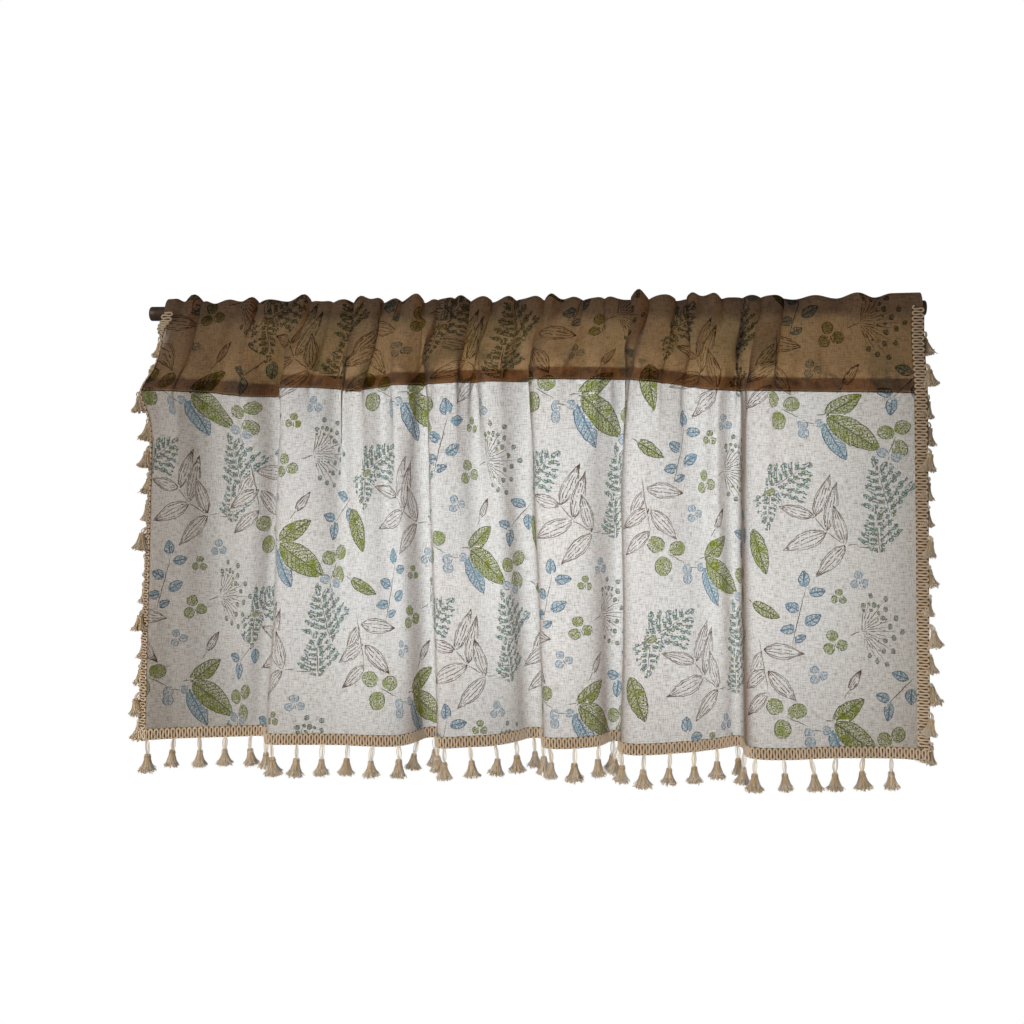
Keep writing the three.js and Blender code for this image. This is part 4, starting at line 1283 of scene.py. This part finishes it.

# Soft cotton yarn, natural cream, matt, with light shining through; the bundle is painted tan inside as
# painted shade, and its frayed rim kept cream as a painted highlight.
cotton, tree = new_material("cotton_tassel_yarn")
place = add_node(tree, PLACE).outputs["Object"]
paleness = add_node(tree, "ShaderNodeAttribute", attribute_name="paleness").outputs["Fac"]
strand = add_node(tree, "ShaderNodeNewGeometry").outputs["Random Per Island"]
# Painted light: low paleness gives the tan of painted shade inside a bundle, and high paleness the cream of
# its painted highlight.
shade = add_node(tree, MATH, (strand, paleness), operation="ADD")
shade = add_node(tree, RANGE, (shade, 0.5, 1.5))
cotton_colour = add_node(tree, MIX, {0: shade, 6: linear(YARN_SHADED_TAN), 7: linear(YARN_CREAM)}, data_type="RGBA")
fuzz = add_node(tree, NOISE, {"Vector": place, "Scale": 1 / YARN_FUZZ, "Detail": 2.0})
cotton_bump = add_node(tree, BUMP, {"Height": fuzz, "Strength": 0.4, "Distance": 0.15 * MM})
cotton_shader = add_node(tree, PRINCIPLED, {
    "Base Color": cotton_colour, "Roughness": 0.95, "Normal": cotton_bump,
    "Specular IOR Level": 0.1, "Sheen Weight": 0.25,
})
cotton_lit = add_node(tree, MIX, {
    0: 1.0, 6: cotton_colour, 7: linear(YARN_TINT),
}, data_type="RGBA", blend_type="MULTIPLY")
cotton_through = add_node(tree, TRANSLUCENT, {"Color": cotton_lit})
cotton_mix = add_node(tree, MIX_SHADER, (YARN_THROUGH, cotton_shader, cotton_through))
add_node(tree, SURFACE_OUT, {"Surface": cotton_mix})


def tassel_body(name):
    """One tassel's yarn lines in mm, top at the origin, with thickness and a paleness of painted shade and
    highlight.
    """
    drawn = []
    thick = []
    pale = []
    flare = rng.uniform(*SKIRT_RADIUS)
    bound = BIND_AT / BODY_LONG
    share = np.linspace(0, 1, YARN_POINTS)
    spread = np.clip((share - bound) / (1 - bound), 0, 1)
    swell = np.where(share < bound, HEAD_SWELL * np.sin(math.pi * np.clip(share / bound, 0, 1)), 0)
    for i in range(STRANDS + FRAYED):
        frayed = i >= STRANDS
        angle = i * STRAND_TURN + rng.uniform(-0.2, 0.2)
        ring_share = math.sqrt((i % STRANDS + 0.5) / STRANDS)
        end = flare * (0.98 + 0.3 * rng.random() if frayed else 0.25 + 0.75 * ring_share)
        top = HEAD_RADIUS * (0.95 if frayed else ring_share)
        radius = top * (0.75 + 0.25 * spread) + swell + (end - top) * spread ** (1.9 if frayed else 1.25)
        twist = rng.uniform(-0.25, 0.25) * share
        stray = rng.normal(0, 0.5, YARN_POINTS) * spread * (0.35 if frayed else 0.12)
        turned = angle + twist + stray
        fall = BODY_LONG * share * (1 + rng.uniform(-0.1, 0.06))
        curl = rng.uniform(0, 2.2) * spread ** 6 if frayed else 0
        drawn.append(np.stack([radius * np.cos(turned), radius * np.sin(turned), -fall + curl], axis=-1))
        thick.append(np.full(YARN_POINTS, YARN_THICK * (1.15 if frayed else rng.uniform(1.3, 1.9))))
        # Painted light: inner strands darken towards mid-skirt as painted shade, and frayed ones grow paler
        # downwards as a painted highlight.
        pale.append(spread + 0.35 if frayed else 0.3 - 0.25 * spread + 0.55 * spread ** 3)
    coil = np.linspace(0, 1, COIL_POINTS)
    around = coil * FULL_TURN * COIL_TURNS
    coil_z = -BIND_AT + COIL_LONG * (0.5 - coil)
    drawn.append(np.stack([COIL_RADIUS * np.cos(around), COIL_RADIUS * np.sin(around), coil_z], axis=-1))
    thick.append(np.full(COIL_POINTS, COIL_THICK))
    pale.append(np.full(COIL_POINTS, 0.35))
    paleness = np.clip(np.concatenate(pale), 0, 1)
    return line_mesh(name, drawn, thickness=np.concatenate(thick) * MM, paleness=paleness)


body_kinds = []
for kind in range(BODY_KINDS):
    name = f"tassel_body_{kind}"
    body_kinds.append(grow(name, tassel_body(name), yarn_tree, {"Sides": 3, "Yarn": cotton}))


def add_tassels(name, trim, roots, hangs):
    """Tassels whose cords lead from roots on the braid to the tops of their bundles."""
    count = len(roots)
    cords = []
    share = np.linspace(0, 1, CORD_POINTS)[:, None]
    for root, hang in zip(roots, hangs):
        line = root + (hang - root) * np.concatenate([share ** 0.7, share ** 0.7, share], axis=-1)
        for yarn in range(CORD_YARNS):
            bow = (0.6 + np.sin(math.pi * share)) * rng.uniform(0.8, 1.7)
            around = yarn * FULL_TURN / CORD_YARNS + rng.uniform(-0.4, 0.4)
            cords.append(line + bow * np.array([math.cos(around), math.sin(around), 0]))
    all_pale = np.ones(len(cords) * CORD_POINTS)
    cord_lines = line_mesh(name + "_loops", cords, thickness=all_pale * CORD_YARN * MM, paleness=all_pale)
    loops = grow(name + "_loops", cord_lines, yarn_tree, {"Sides": 5, "Yarn": cotton})
    swing = np.array(hangs) - np.array(roots)
    lean = np.clip(swing[:, :2] * LEAN_PER_SWING, -TASSEL_LEAN, TASSEL_LEAN)
    lean += rng.normal(0, 0.035, (count, 2))
    turn = np.stack([-lean[:, 1], lean[:, 0], rng.uniform(0, FULL_TURN, count)], axis=-1)
    grown = rng.uniform(*TASSEL_SIZE, count)
    points = line_mesh(name, [np.array([hang]) for hang in hangs], turn=turn, grown=grown)
    kinds = points.attributes.new("kind", "INT", "POINT")
    kinds.data.foreach_set("value", rng.integers(0, BODY_KINDS, count).astype(np.int32))
    bundle = grow(name, points, hang_tree, {
        **{f"Body {i}": body for i, body in enumerate(body_kinds)}, "Yarn": cotton,
    })
    for piece in (loops, bundle):
        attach(piece, "root")
        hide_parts(trim)


hem_roots = []
run_left = TASSEL_PITCH - TASSEL_MARGIN
walked = np.arange(0, FLAT_WIDTH - TASSEL_MARGIN, 1.0)
walk_points = braid_point(walked, np.full(len(walked), HEM_Z - 1.0), CORD_LIFT)
for i, root in enumerate(walk_points):
    run_left += np.linalg.norm(root - walk_points[i - 1]) if i else 0
    if run_left >= TASSEL_PITCH and all(np.linalg.norm(root - other) > TASSEL_CLEAR for other in hem_roots):
        hem_roots.append(root)
        run_left = 0
hem_hangs = [
    root + np.array([rng.normal(0, 1.6), rng.normal(0, 1.2), -HEM_CORD_DROP + rng.uniform(-1.2, 1.5)])
    for root in hem_roots
]
add_tassels("hem_tassels", "hem_tassel_trim", hem_roots, hem_hangs)

side_count = 1 + math.floor((SIDE_TASSEL_TOP - HEM_Z - BRAID_WIDTH) / SIDE_TASSEL_PITCH)
for name, trim, edge_flat, outwards in (
    ("left_tassels", "left_tassel_trim", -BRAID_OVERHANG, -1),
    ("right_tassels", "right_tassel_trim", FLAT_WIDTH + BRAID_OVERHANG, 1),
):
    side_z = SIDE_TASSEL_TOP - SIDE_TASSEL_PITCH * np.arange(side_count)
    side_roots = braid_point(np.full(side_count, float(edge_flat)), side_z, CORD_LIFT)
    side_hangs = side_roots + np.array([outwards * SIDE_TASSEL_OUT, 0.0, 0.0])
    side_hangs[:, 1] += np.where(np.arange(side_count) % 3 == 1, -SIDE_TASSEL_BACK, SIDE_TASSEL_BACK)
    side_hangs[:, :2] += rng.normal(0, 0.9, (side_count, 2))
    side_hangs[:, 2] -= SIDE_CORD_DROP + rng.uniform(-1, 1, side_count)
    add_tassels(name, trim, list(side_roots), list(side_hangs))

for body in body_kinds:
    bpy.data.objects.remove(body)
